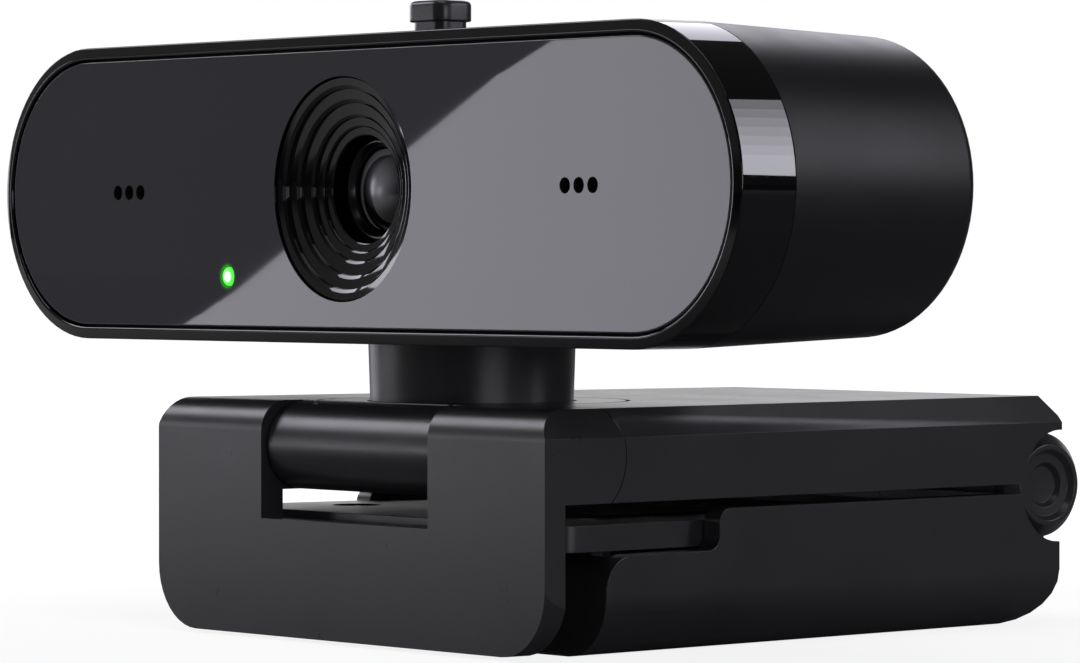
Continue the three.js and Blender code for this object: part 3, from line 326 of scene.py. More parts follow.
def graded(tree, value, start, end, low, high, smooth=False):
    """Value that goes from low to high while the given one goes from start to end."""
    node = tree.nodes.new("ShaderNodeMapRange")
    if smooth:
        node.interpolation_type = "SMOOTHSTEP"
    node.inputs["From Min"].default_value = start
    node.inputs["From Max"].default_value = end
    node.inputs["To Min"].default_value = low
    node.inputs["To Max"].default_value = high
    tree.links.new(value, node.inputs["Value"])
    return node.outputs["Result"]


def spread(tree, value, low, high):
    """Spreads the middle of a noise over a range."""
    return graded(tree, value, 0.3, 0.7, low, high)


def joined(tree, operation, a, b):
    node = tree.nodes.new("ShaderNodeMath")
    node.operation = operation
    tree.links.new(a, node.inputs[0])
    tree.links.new(b, node.inputs[1])
    return node.outputs["Value"]


def distance_from(tree, spot, start, end, low, high):
    """Value that goes from low to high between two distances from a spot on the object."""
    distance = tree.nodes.new("ShaderNodeVectorMath")
    distance.operation = "DISTANCE"
    tree.links.new(coordinates(tree), distance.inputs[0])
    distance.inputs[1].default_value = spot
    return graded(tree, distance.outputs["Value"], start, end, low, high, smooth=True)


def bump(tree, shader, value, height):
    node = tree.nodes.new("ShaderNodeBump")
    node.inputs["Strength"].default_value = 1.0
    node.inputs["Distance"].default_value = height
    tree.links.new(value, node.inputs["Height"])
    tree.links.new(node.outputs["Normal"], shader.inputs["Normal"])


def moulded(name, color, roughness, grain, height, spread_of=0.06, **sockets):
    """Plastic with a fine moulded grain, a slight unevenness of gloss and of tone."""
    material, tree, shader = principled(name, color, roughness, **sockets)
    where = coordinates(tree)
    tone = noise(tree, where, 90)
    low = [c * 0.9 for c in color]
    high = [c * 1.1 for c in color]
    tree.links.new(ramp(tree, tone, low, high), shader.inputs["Base Color"])
    gloss = noise(tree, where, 160, 4)
    uneven = spread(tree, gloss, roughness - spread_of, roughness + spread_of)
    tree.links.new(uneven, shader.inputs["Roughness"])
    bump(tree, shader, noise(tree, where, grain, 2), height)
    return material


def metal(name, color, roughness, grain):
    material, tree, shader = principled(name, color, roughness, Metallic=1.0)
    where = coordinates(tree)
    low = [c * 0.86 for c in color]
    tree.links.new(ramp(tree, noise(tree, where, 500), low, color), shader.inputs["Base Color"])
    uneven = spread(tree, noise(tree, where, 700, 4), roughness - 0.08, roughness + 0.1)
    tree.links.new(uneven, shader.inputs["Roughness"])
    bump(tree, shader, noise(tree, where, grain, 2), 2e-6)
    return material


GLOSS = moulded("gloss_black", (0.0030, 0.0029, 0.0040), 0.035, 900, 1e-7, 0.012)
DISH = moulded("dish_black", (0.0050, 0.0048, 0.0062), 0.05, 900, 1e-7, 0.015)
BARREL = moulded("barrel_black", (0.0040, 0.0038, 0.0048), 0.22, 2000, 1e-6, 0.03)
# painted shade: near-black colour for the walls of the small holes and for the shelf behind the glass
PAINTED_HOLE_SHADE = moulded("painted_hole_shade", (0.0008, 0.0008, 0.0009), 0.8, 2000, 1e-6, 0.05)
MATTE = moulded("matte_black", (0.0050, 0.0048, 0.0062), 0.40, 5200, 5e-6, 0.03)
SATIN = moulded("satin_grey", (0.0340, 0.0332, 0.0360), 0.30, 5200, 3e-6, 0.03)
RUBBER = moulded("black_rubber", (0.014, 0.014, 0.015), 0.75, 2600, 2e-5)
BOARD = moulded("board_green", (0.012, 0.10, 0.045), 0.40, 900, 8e-6)
CHIP = moulded("chip_black", (0.012, 0.012, 0.012), 0.45, 3000, 6e-6)
CREAM = moulded("socket_white", (0.62, 0.58, 0.50), 0.45, 2500, 5e-6)
STEEL = metal("steel", (0.58, 0.58, 0.60), 0.26, 1800)
BRASS = metal("brass", (0.66, 0.47, 0.17), 0.26, 1500)


LIGHT_SPOT = Vector((middle("light_pipe").x, RIM_Y + GLASS_FRONT, middle("light_pipe").z))
LENS_FRONT_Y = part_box("lens_element")[0].y


def smoked_glass():
    """Dark printed glass; the light spreads a green halo round its hole."""
    material, tree, shader = principled("smoked_glass", (0.110, 0.108, 0.118), 0.02)
    shader.inputs["IOR"].default_value = 1.5
    where = coordinates(tree)
    tone = noise(tree, where, 30)
    color = ramp(tree, tone, (0.108, 0.106, 0.116), (0.112, 0.110, 0.120))
    tree.links.new(color, shader.inputs["Base Color"])
    tree.links.new(spread(tree, noise(tree, where, 60), 0.012, 0.024), shader.inputs["Roughness"])
    halo = distance_from(tree, LIGHT_SPOT, 0.95 * MM, 1.3 * MM, 0.12, 0)
    shader.inputs["Emission Color"].default_value = (0.03, 0.60, 0.02, 1)
    tree.links.new(halo, shader.inputs["Emission Strength"])
    return material


def lens_glass_with_painted_light():
    """Dark coated glass, with a painted grey bloom of light and a painted bright crescent highlight in its base
    colour.
    """
    material, tree, shader = principled("lens_glass", (0.01, 0.01, 0.012), 0.03)
    shader.inputs["IOR"].default_value = 1.6
    spot = (0.3 * MM, LENS_FRONT_Y + 0.6 * MM, HEAD_Z + 0.6 * MM)
    painted_highlight_middle = (0.75 * MM, LENS_FRONT_Y + 0.3 * MM, HEAD_Z - 0.4 * MM)
    # painted light: a grey bloom round the spot and a bright crescent highlight, both painted into the base colour
    painted_bloom = distance_from(tree, spot, 0.2 * MM, 2.9 * MM, 0, 1)
    color = ramp(tree, painted_bloom, (0.50, 0.49, 0.53), (0.008, 0.008, 0.010), 0.0, 1.0)
    painted_crescent_highlight = distance_from(tree, painted_highlight_middle, 3.25 * MM, 3.35 * MM, 0, 1)
    # the colour sockets of a mix node are its seventh and eighth inputs and its third output
    both = tree.nodes.new("ShaderNodeMix")
    both.data_type = "RGBA"
    tree.links.new(painted_crescent_highlight, both.inputs[0])
    tree.links.new(color, both.inputs[6])
    both.inputs[7].default_value = (0.60, 0.60, 0.63, 1)
    tree.links.new(both.outputs[2], shader.inputs["Base Color"])
    haze = distance_from(tree, spot, 1.2 * MM, 2.4 * MM, 0.22, 0.03)
    tree.links.new(haze, shader.inputs["Roughness"])
    return material


def lamp():
    """Lit light pipe: white in the middle of its end, green towards the edge, dark further in."""
    material, tree, shader = principled("led_green", (0.2, 0.9, 0.15), 0.3)
    outward = distance_from(tree, LIGHT_SPOT, 0.30 * MM, 0.62 * MM, 0, 1)
    color = ramp(tree, outward, (0.97, 1.0, 0.95), (0.06, 0.80, 0.04), 0.1, 0.9)
    tree.links.new(color, shader.inputs["Emission Color"])
    inward = distance_from(tree, LIGHT_SPOT, 0.9 * MM, 1.4 * MM, 1.1, 0)
    tree.links.new(inward, shader.inputs["Emission Strength"])
    return material


def glow():
    """Wall of the light's hole in the glass, lit green by the light."""
    material, tree, shader = principled("glow_green", (0.02, 0.12, 0.02), 0.4)
    tone = noise(tree, coordinates(tree), 600)
    color = ramp(tree, tone, (0.02, 0.30, 0.01), (0.03, 0.40, 0.02))
    tree.links.new(color, shader.inputs["Emission Color"])
    shader.inputs["Emission Strength"].default_value = 0.5
    return material


GLASS = smoked_glass()
LENS_PAINTED_LIGHT = lens_glass_with_painted_light()
LAMP = lamp()
GLOW = glow()
LED_BODY = moulded("led_body", (0.35, 0.42, 0.33), 0.35, 900, 2e-6)


# ---------- camera head ----------
def head_ring(depth, inset, steps=40):
    """Stadium outline of the head at a depth behind the rim, drawn in by the inset."""
    back = max(0, depth - BEZEL_DEPTH) / (HEAD_DEPTH - BEZEL_DEPTH)
    radius = HALF_HEIGHT - inset
    reach = HALF_WIDTH - HALF_HEIGHT
    sx = 1 - back * NARROWING / HALF_WIDTH
    sz = 1 - back * LOWERING / HALF_HEIGHT
    points = []
    for side, start in ((1, -90), (-1, 90)):
        for i in range(steps + 1):
            t = math.radians(start + 180 * i / steps)
            x = side * reach + radius * math.cos(t)
            z = radius * math.sin(t)
            points.append(Vector((x * sx, RIM_Y + depth, HEAD_Z + z * sz)))
    return points


def head_loft(name, profile):
    """Closed body of head outlines; the profile lists (inset, depth) from the first cap to the last."""
    bm = bmesh.new()
    bridge(bm, [head_ring(depth, inset) for inset, depth in profile])
    return make(name, bm)


def neck_slot():
    """Room in the head's underside for the neck when the head tilts."""
    sine, cosine = math.sin(TILT_LIMIT), math.cos(TILT_LIMIT)
    rise = TILT.z - (HEAD_Z - HALF_HEIGHT)
    reach = (rise + NECK_TOP_RADIUS * sine) / cosine
    half = NECK_TOP_RADIUS * cosine + reach * sine + GAP
    side = NECK_TOP_RADIUS + GAP
    steps = 32
    outline = []
    for direction, start in ((1, 0), (-1, 180)):
        for i in range(steps + 1):
            t = math.radians(start + 180 * i / steps)
            outline.append((side * math.cos(t), direction * (half - side) + side * math.sin(t)))
    low = HEAD_Z - HALF_HEIGHT - 2 * MM
    high = TILT.z + NECK_TOP_RADIUS * sine + 1 * MM
    bm = bmesh.new()
    bridge(bm, [[Vector((x, y, z)) for x, y in outline] for z in (low, high)])
    return make("tool", bm)


LENS_AXIS = Vector((0, RIM_Y, HEAD_Z))
# x, z and radius of the light's hole and of the six microphone holes
SMALL_HOLES = [(LIGHT_SPOT.x, LIGHT_SPOT.z, LIGHT_HOLE_RADIUS)]
for microphone in ("microphone_left", "microphone_right"):
    for step in (-1, 0, 1):
        place = middle(microphone).x + step * MIC_HOLE_PITCH
        SMALL_HOLES.append((place, HEAD_Z, MIC_HOLE_RADIUS))


def front_holes(start, end):
    """Tools for the lens opening, the light's hole and the six microphone holes."""
    tools = [rod_tool("y", OPENING, start, end, LENS_AXIS, 128)]
    for x, z, radius in SMALL_HOLES:
        tools.append(rod_tool("y", radius, start, end, Vector((x, RIM_Y, z)), 40))
    return tools


def bezel_piece():
    """Frame round the glass, with the shelf behind it."""
    profile = [
        (RIM, SHELF_FRONT), (RIM, 0), (0, RIM_SLOPE), (0, BEZEL_DEPTH),
        (WALL, BEZEL_DEPTH), (WALL, SHELF_BACK),
    ]
    radii = [0, 0.2 * MM, 0.14 * MM, 0.04 * MM, 0, 0]
    bezel = head_loft("head_bezel", fillet(profile, radii))
    combine(bezel, front_holes(0, BEZEL_DEPTH + 1 * MM) + [neck_slot()])
    shade(bezel)
    stand(bezel, "camera_head", "front_bezel", GLOSS)
    # the walls of the small holes and the shelf behind the glass get painted shade
    paint(bezel, PAINTED_HOLE_SHADE, lambda face: in_hole(face, SMALL_HOLES) or shelf_face(face))


def glass_piece():
    """Flat pane with the lens opening and the small holes."""
    inset = RIM + GLASS_GAP
    cap = inset + 3 * MM
    profile = [(cap, GLASS_FRONT), (inset, GLASS_FRONT), (inset, GLASS_BACK), (cap, GLASS_BACK)]
    glass = head_loft("head_glass", fillet(profile, [0, 0.15 * MM, 0.1 * MM, 0]))
    combine(glass, front_holes(-1 * MM, SHELF_FRONT))
    shade(glass)
    stand(glass, "camera_head", "front_glass", GLASS)
    # the walls of the microphone holes get painted shade
    paint(glass, PAINTED_HOLE_SHADE, lambda face: in_hole(face, SMALL_HOLES[1:]))
    paint(glass, GLOW, lambda face: in_hole(face, SMALL_HOLES[:1]))
    paint(glass, DISH, lambda face: in_hole(face, [(0, HEAD_Z, OPENING)]))


def shell_piece():
    """Rear of the head: a spigot into the bezel, the knob's slot, and places for inlet and screws."""
    front = BEZEL_DEPTH + 0.06 * MM
    back = HEAD_DEPTH
    inner = HEAD_DEPTH - WALL
    spigot = WALL + GAP
    spigot_wall = 1 * MM
    spigot_front = front - 1.6 * MM
    profile = [
        (spigot + spigot_wall, inner), (spigot + spigot_wall, spigot_front), (spigot, spigot_front),
        (spigot, front), (0, front), (0, back), (4 * MM, back),
    ]
    shell = head_loft("head_shell", fillet(profile, [0, 0, 0, 0, 0.05 * MM, 1.2 * MM, 0], 8))
    knob = middle("privacy_knob")
    travel = joint("shutter_slide")["range_m"][1]
    slot_half = 1.1 * MM
    slot = box_tool(
        Vector((knob.x - travel - slot_half, knob.y - slot_half, HEAD_Z + 5 * MM)),
        Vector((knob.x + slot_half, knob.y + slot_half, HEAD_Z + 20 * MM)),
    )
    tools = [slot, neck_slot()]
    gland = Vector((middle("cable_gland").x, RIM_Y, middle("cable_gland").z))
    tools.append(rod_tool("y", 2.9 * MM, back - 1.9 * MM, back + 1 * MM, gland, 64))
    tubes = []
    for node in ("case_screw_left", "case_screw_right"):
        low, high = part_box(node)
        seat = high.y - RIM_Y - 0.9 * MM
        centre = Vector(((low.x + high.x) / 2, RIM_Y, (low.z + high.z) / 2))
        # the screw's tube, the well for its head and the bore for its shank
        tubes.append(rod_tool("y", 3.3 * MM, seat - 2.7 * MM, inner + 0.5 * MM, centre))
        tools.append(rod_tool("y", 2.2 * MM, seat, back + 1 * MM, centre))
        tools.append(rod_tool("y", 1.3 * MM, seat - 4 * MM, seat + 0.5 * MM, centre))
    combine(shell, tubes, "UNION")
    combine(shell, tools)
    shade(shell)
    stand(shell, "camera_head", "rear_shell", MATTE)


def dish_piece():
    """Stepped round recess: flat rings that slope inwards, each with a bevel and a short wall."""
    low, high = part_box("lens_dish")
    outside = OPENING - GAP
    flange = high.x
    back = high.y - RIM_Y
    # radius, bevel width and wall height of each step in millimetres
    steps = [
        (8.35, 0.30, 0.34), (7.2, 0.30, 0.29), (6.0, 0.24, 0.27), (5.2, 0.15, 0.23),
        (4.5, 0.10, 0.15),
    ]
    front = low.y - RIM_Y
    depth = front
    edge = outside + 0.15 * MM
    before = edge
    profile = [(before, depth)]
    radii = [0]
    for radius, bevel, wall in steps:
        radius, bevel, wall = radius * MM, bevel * MM, wall * MM
        depth += (before - radius - bevel) * DISH_SLOPE
        profile.append((radius + bevel, depth))
        depth += bevel * 0.6
        profile.append((radius, depth))
        depth += wall
        profile.append((radius, depth))
        radii += [0.06 * MM, 0.05 * MM, 0.02 * MM]
        before = radius
    flange_front = back - 0.5 * MM
    profile[-1] = (before, back)
    profile += [(flange, back), (flange, flange_front), (outside, flange_front)]
    profile += [(outside, front + 1 * MM), (edge, front + 1 * MM)]
    radii[-1] = 0.1 * MM
    radii += [0, 0, 0, 0, 0]
    dish = lathe("lens_cone", fillet(profile, radii, 4, True), "y", LENS_AXIS, 160, closed=True)
    stand(dish, "camera_head", "lens_dish", DISH)


def barrel_piece():
    """Tube of the lens, with the light shield round it and the seat of the front glass inside."""
    low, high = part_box("lens_barrel")
    start = low.y - RIM_Y
    end = high.y - RIM_Y
    radius = high.x
    bore = radius - 0.7 * MM
    narrow = bore - 1.2 * MM
    seat = start + 3.2 * MM
    shield = 6.4 * MM
    shield_front = start + 0.8 * MM
    shield_back = start + 1.4 * MM
    profile = [
        (bore, seat), (bore, start + 0.5 * MM), (bore + 0.35 * MM, start), (radius, start),
        (radius, shield_front), (shield, shield_front), (shield, shield_back), (radius, shield_back),
        (radius, end), (narrow, end), (narrow, seat),
    ]
    radii = [0, 0.1 * MM, 0.05 * MM, 0.25 * MM] + [0] * 7
    barrel = lathe("lens_tube", fillet(profile, radii, 4, True), "y", LENS_AXIS, 96, closed=True)
    stand(barrel, "camera_head", "lens_barrel", BARREL)


def element_piece():
    """Domed front glass of the lens."""
    low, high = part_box("lens_element")
    radius = high.x
    front = low.y - RIM_Y
    back = high.y - RIM_Y
    curve = 2.1 * radius
    half_angle = math.asin(radius / curve)
    steps = 16
    profile = []
    for i in range(steps + 1):
        t = half_angle * i / steps
        profile.append((curve * math.sin(t), front + curve * (1 - math.cos(t))))
    profile += [(radius, back), (0, back)]
    element = lathe("lens_front", profile, "y", LENS_AXIS, 96)
    stand(element, "camera_head", "lens_element", LENS_PAINTED_LIGHT)


def light_piece():
    """Light pipe, with its end flush in the glass."""
    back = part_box("light_pipe")[1].y
    centre = Vector((LIGHT_SPOT.x, 0, LIGHT_SPOT.z))
    radius = 0.8 * MM
    front = LIGHT_SPOT.y + 0.02 * MM
    profile = [(0, front), (radius, front), (radius, back), (0, back)]
    rounded = fillet(profile, [0, 0.15 * MM, 0.1 * MM, 0])
    pipe = lathe("light_guide", rounded, "y", centre, 48)
    stand(pipe, "camera_head", "light_pipe", LAMP)


bezel_piece()
glass_piece()
shell_piece()
dish_piece()
barrel_piece()
element_piece()
light_piece()


# ---------- privacy knob ----------
def rounded_outline(half_x, half_y, radius, steps=8):
    points = []
    for cx, cy, start in ((1, -1, -90), (1, 1, 0), (-1, 1, 90), (-1, -1, 180)):
        for i in range(steps + 1):
            t = math.radians(start + 90 * i / steps)
            points.append((
                cx * (half_x - radius) + radius * math.cos(t),
                cy * (half_y - radius) + radius * math.sin(t),
            ))
    return points


def knob_piece():
    """Knob with a rounded cap over a narrower stem and a shank through the head's slot."""
    low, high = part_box("privacy_knob")
    centre = middle("privacy_knob")
    half_x = (high.x - low.x) / 2
    half_y = (high.y - low.y) / 2
    top = high.z
    cap_bottom = top - 1.8 * MM
    shell_top = HEAD_Z + HALF_HEIGHT - 0.15 * MM
    shank = 0.8 * MM
    stem = 0.35 * MM
    profile = [
        (half_x - shank, low.z), (half_x - shank, shell_top + GAP), (stem, shell_top + GAP),
        (stem, cap_bottom), (0, cap_bottom), (0, top), (1.6 * MM, top),
    ]
    sections = fillet(profile, [0, 0, 0.1 * MM, 0, 0.2 * MM, 0.45 * MM, 0], 5)
    bm = bmesh.new()
    rings = []
    for inset, z in sections:
        hx = half_x - inset
        hy = max(half_y - inset, shank)
        radius = max(0.2 * MM, min(1.2 * MM - inset * 0.5, hx, hy) - 0.01 * MM)
        outline = rounded_outline(hx, hy, min(radius, hx, hy))
        rings.append([Vector((centre.x + x, centre.y + y, z)) for x, y in outline])
    bridge(bm, rings)
    knob = make("shutter_knob", bm)
    stand(knob, "privacy_shutter", "privacy_knob", SATIN)


knob_piece()


# ---------- neck ----------
def neck_piece():
    """Round neck: spindle, column and a domed top, bored for the tilt pin and the swivel screw."""
    low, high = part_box("neck")
    foot = NECK_FOOT_Z
    top = high.z
    spindle = 2.6 * MM
    dome_steps = 4
    drum = math.hypot(NECK_TOP_RADIUS, TILT.z - (HEAD_Z - HALF_HEIGHT))
    profile = [
        (0, low.z), (spindle, low.z), (spindle, foot), (NECK_FOOT_RADIUS, foot),
        (NECK_TOP_RADIUS, TILT.z),
    ]
    for i in range(1, dome_steps + 1):
        z = TILT.z + (top - TILT.z) * i / dome_steps
        profile.append((min(NECK_TOP_RADIUS, math.sqrt(drum ** 2 - (z - TILT.z) ** 2)), z))
    profile.append((0, top))
    rounded = fillet(profile, [0, 0.2 * MM, 0, 0.15 * MM] + [0] * 6)
    neck = lathe("neck_column", rounded, "z", Vector((0, 0, 0)), 128)
    combine(neck, [
        rod_tool("x", 1.2 * MM, -20 * MM, 20 * MM, Vector((0, TILT.y, TILT.z)), 24),
        rod_tool("z", 1.3 * MM, low.z - 1 * MM, foot + 3 * MM, Vector((0, 0, 0)), 24),
    ])
    shade(neck)
    stand(neck, "swivel_neck", "neck", SATIN)


neck_piece()


# ---------- clip ----------
LIP_AXIS = Vector(joint("lip_hinge")["pos_m"])
EAR = 4.75 * MM
FULL_EAR = EAR + 0.2 * MM
SEAM = EAR + GAP


def from_lip_axis(point):
    return math.hypot(point.y - LIP_AXIS.y, point.z - LIP_AXIS.z)


def off_seam(edge):
    """False on the seam between the arm and the ears of the lip, which stays a hairline."""
    return not all(
        vertex.co.y > LIP_AXIS.y
        and min(abs(from_lip_axis(vertex.co) - radius) for radius in (FULL_EAR, SEAM)) < 0.04 * MM
        for vertex in edge.verts
    )


def close_seam(obj):
    """Brings the round backs of the lip's ears up to the arm."""
    for vertex in obj.data.vertices:
        if vertex.co.y > LIP_AXIS.y and abs(from_lip_axis(vertex.co) - EAR) < 0.03 * MM:
            rise = vertex.co.z - LIP_AXIS.z
            vertex.co.y = LIP_AXIS.y + math.sqrt(FULL_EAR ** 2 - rise ** 2)


def softened_node(node, name, body, width, steps=3, before=None, keep=None):
    """Copy of a CAD node with rounded edges, in the place of that node."""
    piece = copy_of(node, name)
    if before:
        before(piece)
    soften(piece, width, steps, keep=keep)
    stand(piece, body, node, SATIN)


softened_node("front_lip", "lip_plate", "folding_lip", 0.45 * MM, 4, close_seam, off_seam)
softened_node("arm_shell", "arm_body", "clip_arm", 0.15 * MM, keep=off_seam)
softened_node("leg_shell", "leg_body", "folding_leg", 0.15 * MM)
softened_node("leg_tongue", "leg_plate", "folding_leg", 0.2 * MM)
softened_node("arm_cover", "arm_plate", "clip_arm", 0.12 * MM)


def cap_pieces():
    """Stepped discs on the ends of the leg's hinge, dished towards the middle."""
    for side, word in ((LEFT, "left"), (RIGHT, "right")):
        node = "hinge_cap_" + word
        low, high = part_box(node)
        radius = (high.z - low.z) / 2
        thick = high.x - low.x
        inner = high.x if side == LEFT else low.x
        step = 0.5 * MM
        profile = [(0, 0), (radius, 0), (radius, thick - 1.1 * MM)]
        # radius in millimetres and number of steps down of each corner
        rings = [(3.55, 0), (3.13, 0), (2.76, 1), (1.97, 1), (1.62, 2)]
        profile += [(r * MM, thick - level * step) for r, level in rings]
        profile.append((0, thick - 2 * step))
        radii = [0, 0, 0.4, 0.15, 0.1, 0.1, 0.1, 0.1, 0]
        rounded = fillet(profile, [r * MM for r in radii], 5)
        centre = Vector((inner, middle(node).y, middle(node).z))
        cap = lathe("hinge_disc_" + word, [(r, side * x) for r, x in rounded], "x", centre, 96)
        stand(cap, "folding_leg", node, SATIN)


cap_pieces()


# ---------- screws, insert, inlet and pads ----------
def cross_tool(radius, reach, along, axis, centre):
    """Tapering cross that cuts a screw's drive."""
    outline = []
    arm = radius * 0.16
    long = radius * 0.56
    corners = [(long, -arm), (long, arm), (arm, arm)]
    for quarter in range(4):
        c, s = [(1, 0), (0, 1), (-1, 0), (0, -1)][quarter]
        outline += [(x * c - y * s, x * s + y * c) for x, y in corners]
    bm = bmesh.new()
    rings = []
    for scale, offset in ((1.1, -0.2), (1, 0), (0.45, 1)):
        depth = along + reach * offset
        rings.append([centre + AXES[axis](depth, x * scale, y * scale) for x, y in outline])
    bridge(bm, rings)
    return make("tool", bm)


def screw_piece(node, body):
    """Pan-head screw with a cross recess and a thread, in the place of its CAD node."""
    low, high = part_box(node)
    size = high - low
    index = max(range(3), key=lambda i: size[i])
    axis = "xyz"[index]
    others = [i for i in range(3) if i != index]
    centre = (low + high) / 2
    radius = size[others[0]] / 2
    wide = [
        v.co[index] for v in nodes[node].data.vertices
        if math.hypot(*(v.co[i] - centre[i] for i in others)) > radius * 0.9
    ]
    outward = 1 if sum(wide) / len(wide) > centre[index] else -1
    top = outward * size[index] / 2
    head = 0.9 * MM
    shank = radius * 0.34
    pitch = 0.55 * MM
    thread = 0.14 * MM
    profile = fillet(
        [(0, 0), (radius * 0.6, 0.02 * MM), (radius, 0.42 * MM), (radius, head), (shank, head)],
        [0, 0.4 * MM, 0.15 * MM, 0.08 * MM, 0], 4,
    )
    points = [(p.x, p.y) for p in profile]
    start = head + 0.3 * MM
    end = size[index] - 0.7 * MM
    count = round((end - start) / (pitch / 6))
    points += [(shank, start)]
    points += [(shank - thread, start + (end - start) * k / count, thread) for k in range(1, count)]
    points += [(shank - 0.1 * MM, end), (0, size[index])]
    turned = [(p[0], top - outward * p[1], *p[2:]) for p in points]
    screw = lathe(node + "_cross", turned, axis, centre, 32, 40, pitch=pitch)
    combine(screw, [cross_tool(radius, -outward * 0.55 * MM, top, axis, centre)])
    shade(screw, 40)
    stand(screw, body, node, STEEL)


SCREWS = {
    "case_screw_left": "camera_head", "case_screw_right": "camera_head",
    "board_screw_left": "camera_head", "board_screw_right": "camera_head",
    "swivel_screw": "swivel_neck",
}
for number in range(1, 5):
    SCREWS["arm_cover_screw_%d" % number] = "clip_arm"
    SCREWS["leg_screw_%d" % number] = "folding_leg"
for node, body in SCREWS.items():
    screw_piece(node, body)


def insert_piece():
    """Brass insert with the thread for a camera screw."""
    low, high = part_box("tripod_insert")
    centre = middle("tripod_insert")
    outside = (high.x - low.x) / 2
    bore = 3.175 * MM
    pitch = 1.27 * MM
    thread = 0.5 * MM
    half = (high.z - low.z) / 2
    first = half - 0.3 * MM
    length = 2 * half - 0.9 * MM
    count = 44
    profile = [(outside, -half), (outside, half), (bore + 0.1 * MM, half)]
    radii = [0.2 * MM, 0.2 * MM, 0]
    points = [(p.x, p.y) for p in fillet(profile, radii, 3, True)]
    points += [(bore - 0.35 * MM, first - length * k / count, thread) for k in range(count + 1)]
    points += [(bore + 0.45 * MM, -half)]
    insert = lathe("camera_thread", points, "z", centre, 64, 40, closed=True, pitch=pitch)
    stand(insert, "folding_leg", "tripod_insert", BRASS)


insert_piece()


def gland_piece():
    """Rubber inlet of the cable: a collar on each side of the head's wall."""
    low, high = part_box("cable_gland")
    centre = Vector((middle("cable_gland").x, 0, middle("cable_gland").z))
    collar = (high.x - low.x) / 2
    sleeve = 2.6 * MM
    bore = sleeve - 0.7 * MM
    outer_face = shell_high.y + GAP
    inner_face = shell_high.y - WALL - GAP
    inner_collar = collar - 0.2 * MM
    lip = high.y - 0.5 * MM
    profile = [
        (bore, low.y), (bore, high.y), (bore + 0.5 * MM, high.y), (bore + 0.7 * MM, lip),
        (collar - 0.5 * MM, lip), (collar, high.y - 0.8 * MM), (collar, outer_face),
        (sleeve, outer_face), (sleeve, inner_face), (inner_collar, inner_face), (inner_collar, low.y),
    ]
    radii = [0, 0.2, 0.2, 0.1, 0.25, 0.15, 0.1, 0, 0, 0.1, 0.1]
    rounded = fillet(profile, [r * MM for r in radii], 4, True)
    gland = lathe("cable_inlet", rounded, "y", centre, 64, closed=True)
    stand(gland, "camera_head", "cable_gland", RUBBER)


gland_piece()


def pad_piece(node, name, body, normal, along, corner, grooves):
    """Rubber pad with rounded corners and a row of shallow grooves on its free face."""
    low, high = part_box(node)
    axis = "xyz".index(normal[1])
    outward = 1 if normal[0] == "+" else -1
    others = [i for i in range(3) if i != axis]
    centre = (low + high) / 2
    half = (high - low) / 2
    edge = 0.15 * MM
    half_a, half_b = half[others[0]], half[others[1]]
    bm = bmesh.new()
    rings = []
    # how far each ring is drawn in, and its height over the middle
    for inset, rise in ((0, -half[axis]), (0, half[axis] - edge), (edge, half[axis])):
        level = centre[axis] + outward * rise
        ring = []
        for a, b in rounded_outline(half_a - inset, half_b - inset, corner - inset):
            point = Vector((0, 0, 0))
            point[axis] = level
            point[others[0]] = centre[others[0]] + a
            point[others[1]] = centre[others[1]] + b
            ring.append(point)
        rings.append(ring)
    bridge(bm, rings)
    pad = make(name, bm)
    run = "xyz".index(along)
    step = 2 * half[run] / (grooves + 1)
    tools = []
    for k in range(1, grooves + 1):
        lowest, highest = Vector(low), Vector(high)
        spot = low[run] + step * k
        lowest[run], highest[run] = spot - 0.2 * MM, spot + 0.2 * MM
        top = centre[axis] + outward * half[axis]
        lowest[axis], highest[axis] = sorted((top - outward * 0.15 * MM, top + outward * 1 * MM))
        other = [i for i in range(3) if i not in (axis, run)][0]
        lowest[other], highest[other] = low[other] + 1 * MM, high[other] - 1 * MM
        tools.append(box_tool(lowest, highest))
    combine(pad, tools)
    shade(pad)
    stand(pad, body, node, RUBBER)


pad_piece("arm_pad", "arm_grip", "clip_arm", "-z", "y", 1.5 * MM, 14)
pad_piece("leg_pad", "leg_grip", "folding_leg", "+z", "y", 1.5 * MM, 14)
pad_piece("lip_pad", "lip_grip", "folding_lip", "+y", "z", 1.2 * MM, 3)

# ---------- pieces that keep their CAD shape ----------
SLOTS = {
    "matte_black": MATTE, "satin_grey": SATIN, "black_rubber": RUBBER, "steel": STEEL,
    "brass": BRASS, "board_green": BOARD, "chip_black": CHIP, "socket_white": CREAM,
    "led_green": LAMP, "gloss_black": GLOSS, "smoked_glass": GLASS, "lens_glass": LENS_PAINTED_LIGHT,
}
for part in frame["record"]["subparts"]:
    data = nodes[part["node"]].data
    data.materials.clear()
    data.materials.append(SLOTS[part["material_slot"]])
nodes["status_led"].data.materials[0] = LED_BODY


# ---------- camera ----------
# place, direction and focal length of the camera, found by a fit
CAMERA_SPOT = Vector((0.3422, -0.26047 + RIM_Y, HEAD_Z - 0.0057))
CAMERA_AZIMUTH = math.radians(50.504)
CAMERA_ELEVATION = math.radians(0.817)
FOCAL_PIXELS = 5171.9
PHOTO_WIDTH = 1080


def set_camera():
    data = bpy.data.cameras.new("camera")
    data.sensor_width = 36
    data.lens = data.sensor_width * FOCAL_PIXELS / PHOTO_WIDTH
    data.clip_start = 0.02
    data.clip_end = 50
    camera = bpy.data.objects.new("camera", data)
    bpy.context.scene.collection.objects.link(camera)
    back = Vector((
        math.sin(CAMERA_AZIMUTH) * math.cos(CAMERA_ELEVATION),
        -math.cos(CAMERA_AZIMUTH) * math.cos(CAMERA_ELEVATION),
        math.sin(CAMERA_ELEVATION),
    ))
    camera.location = CAMERA_SPOT
    camera.rotation_mode = "QUATERNION"
    camera.rotation_quaternion = (-back).to_track_quat("-Z", "Y")
    bpy.context.scene.camera = camera


set_camera()


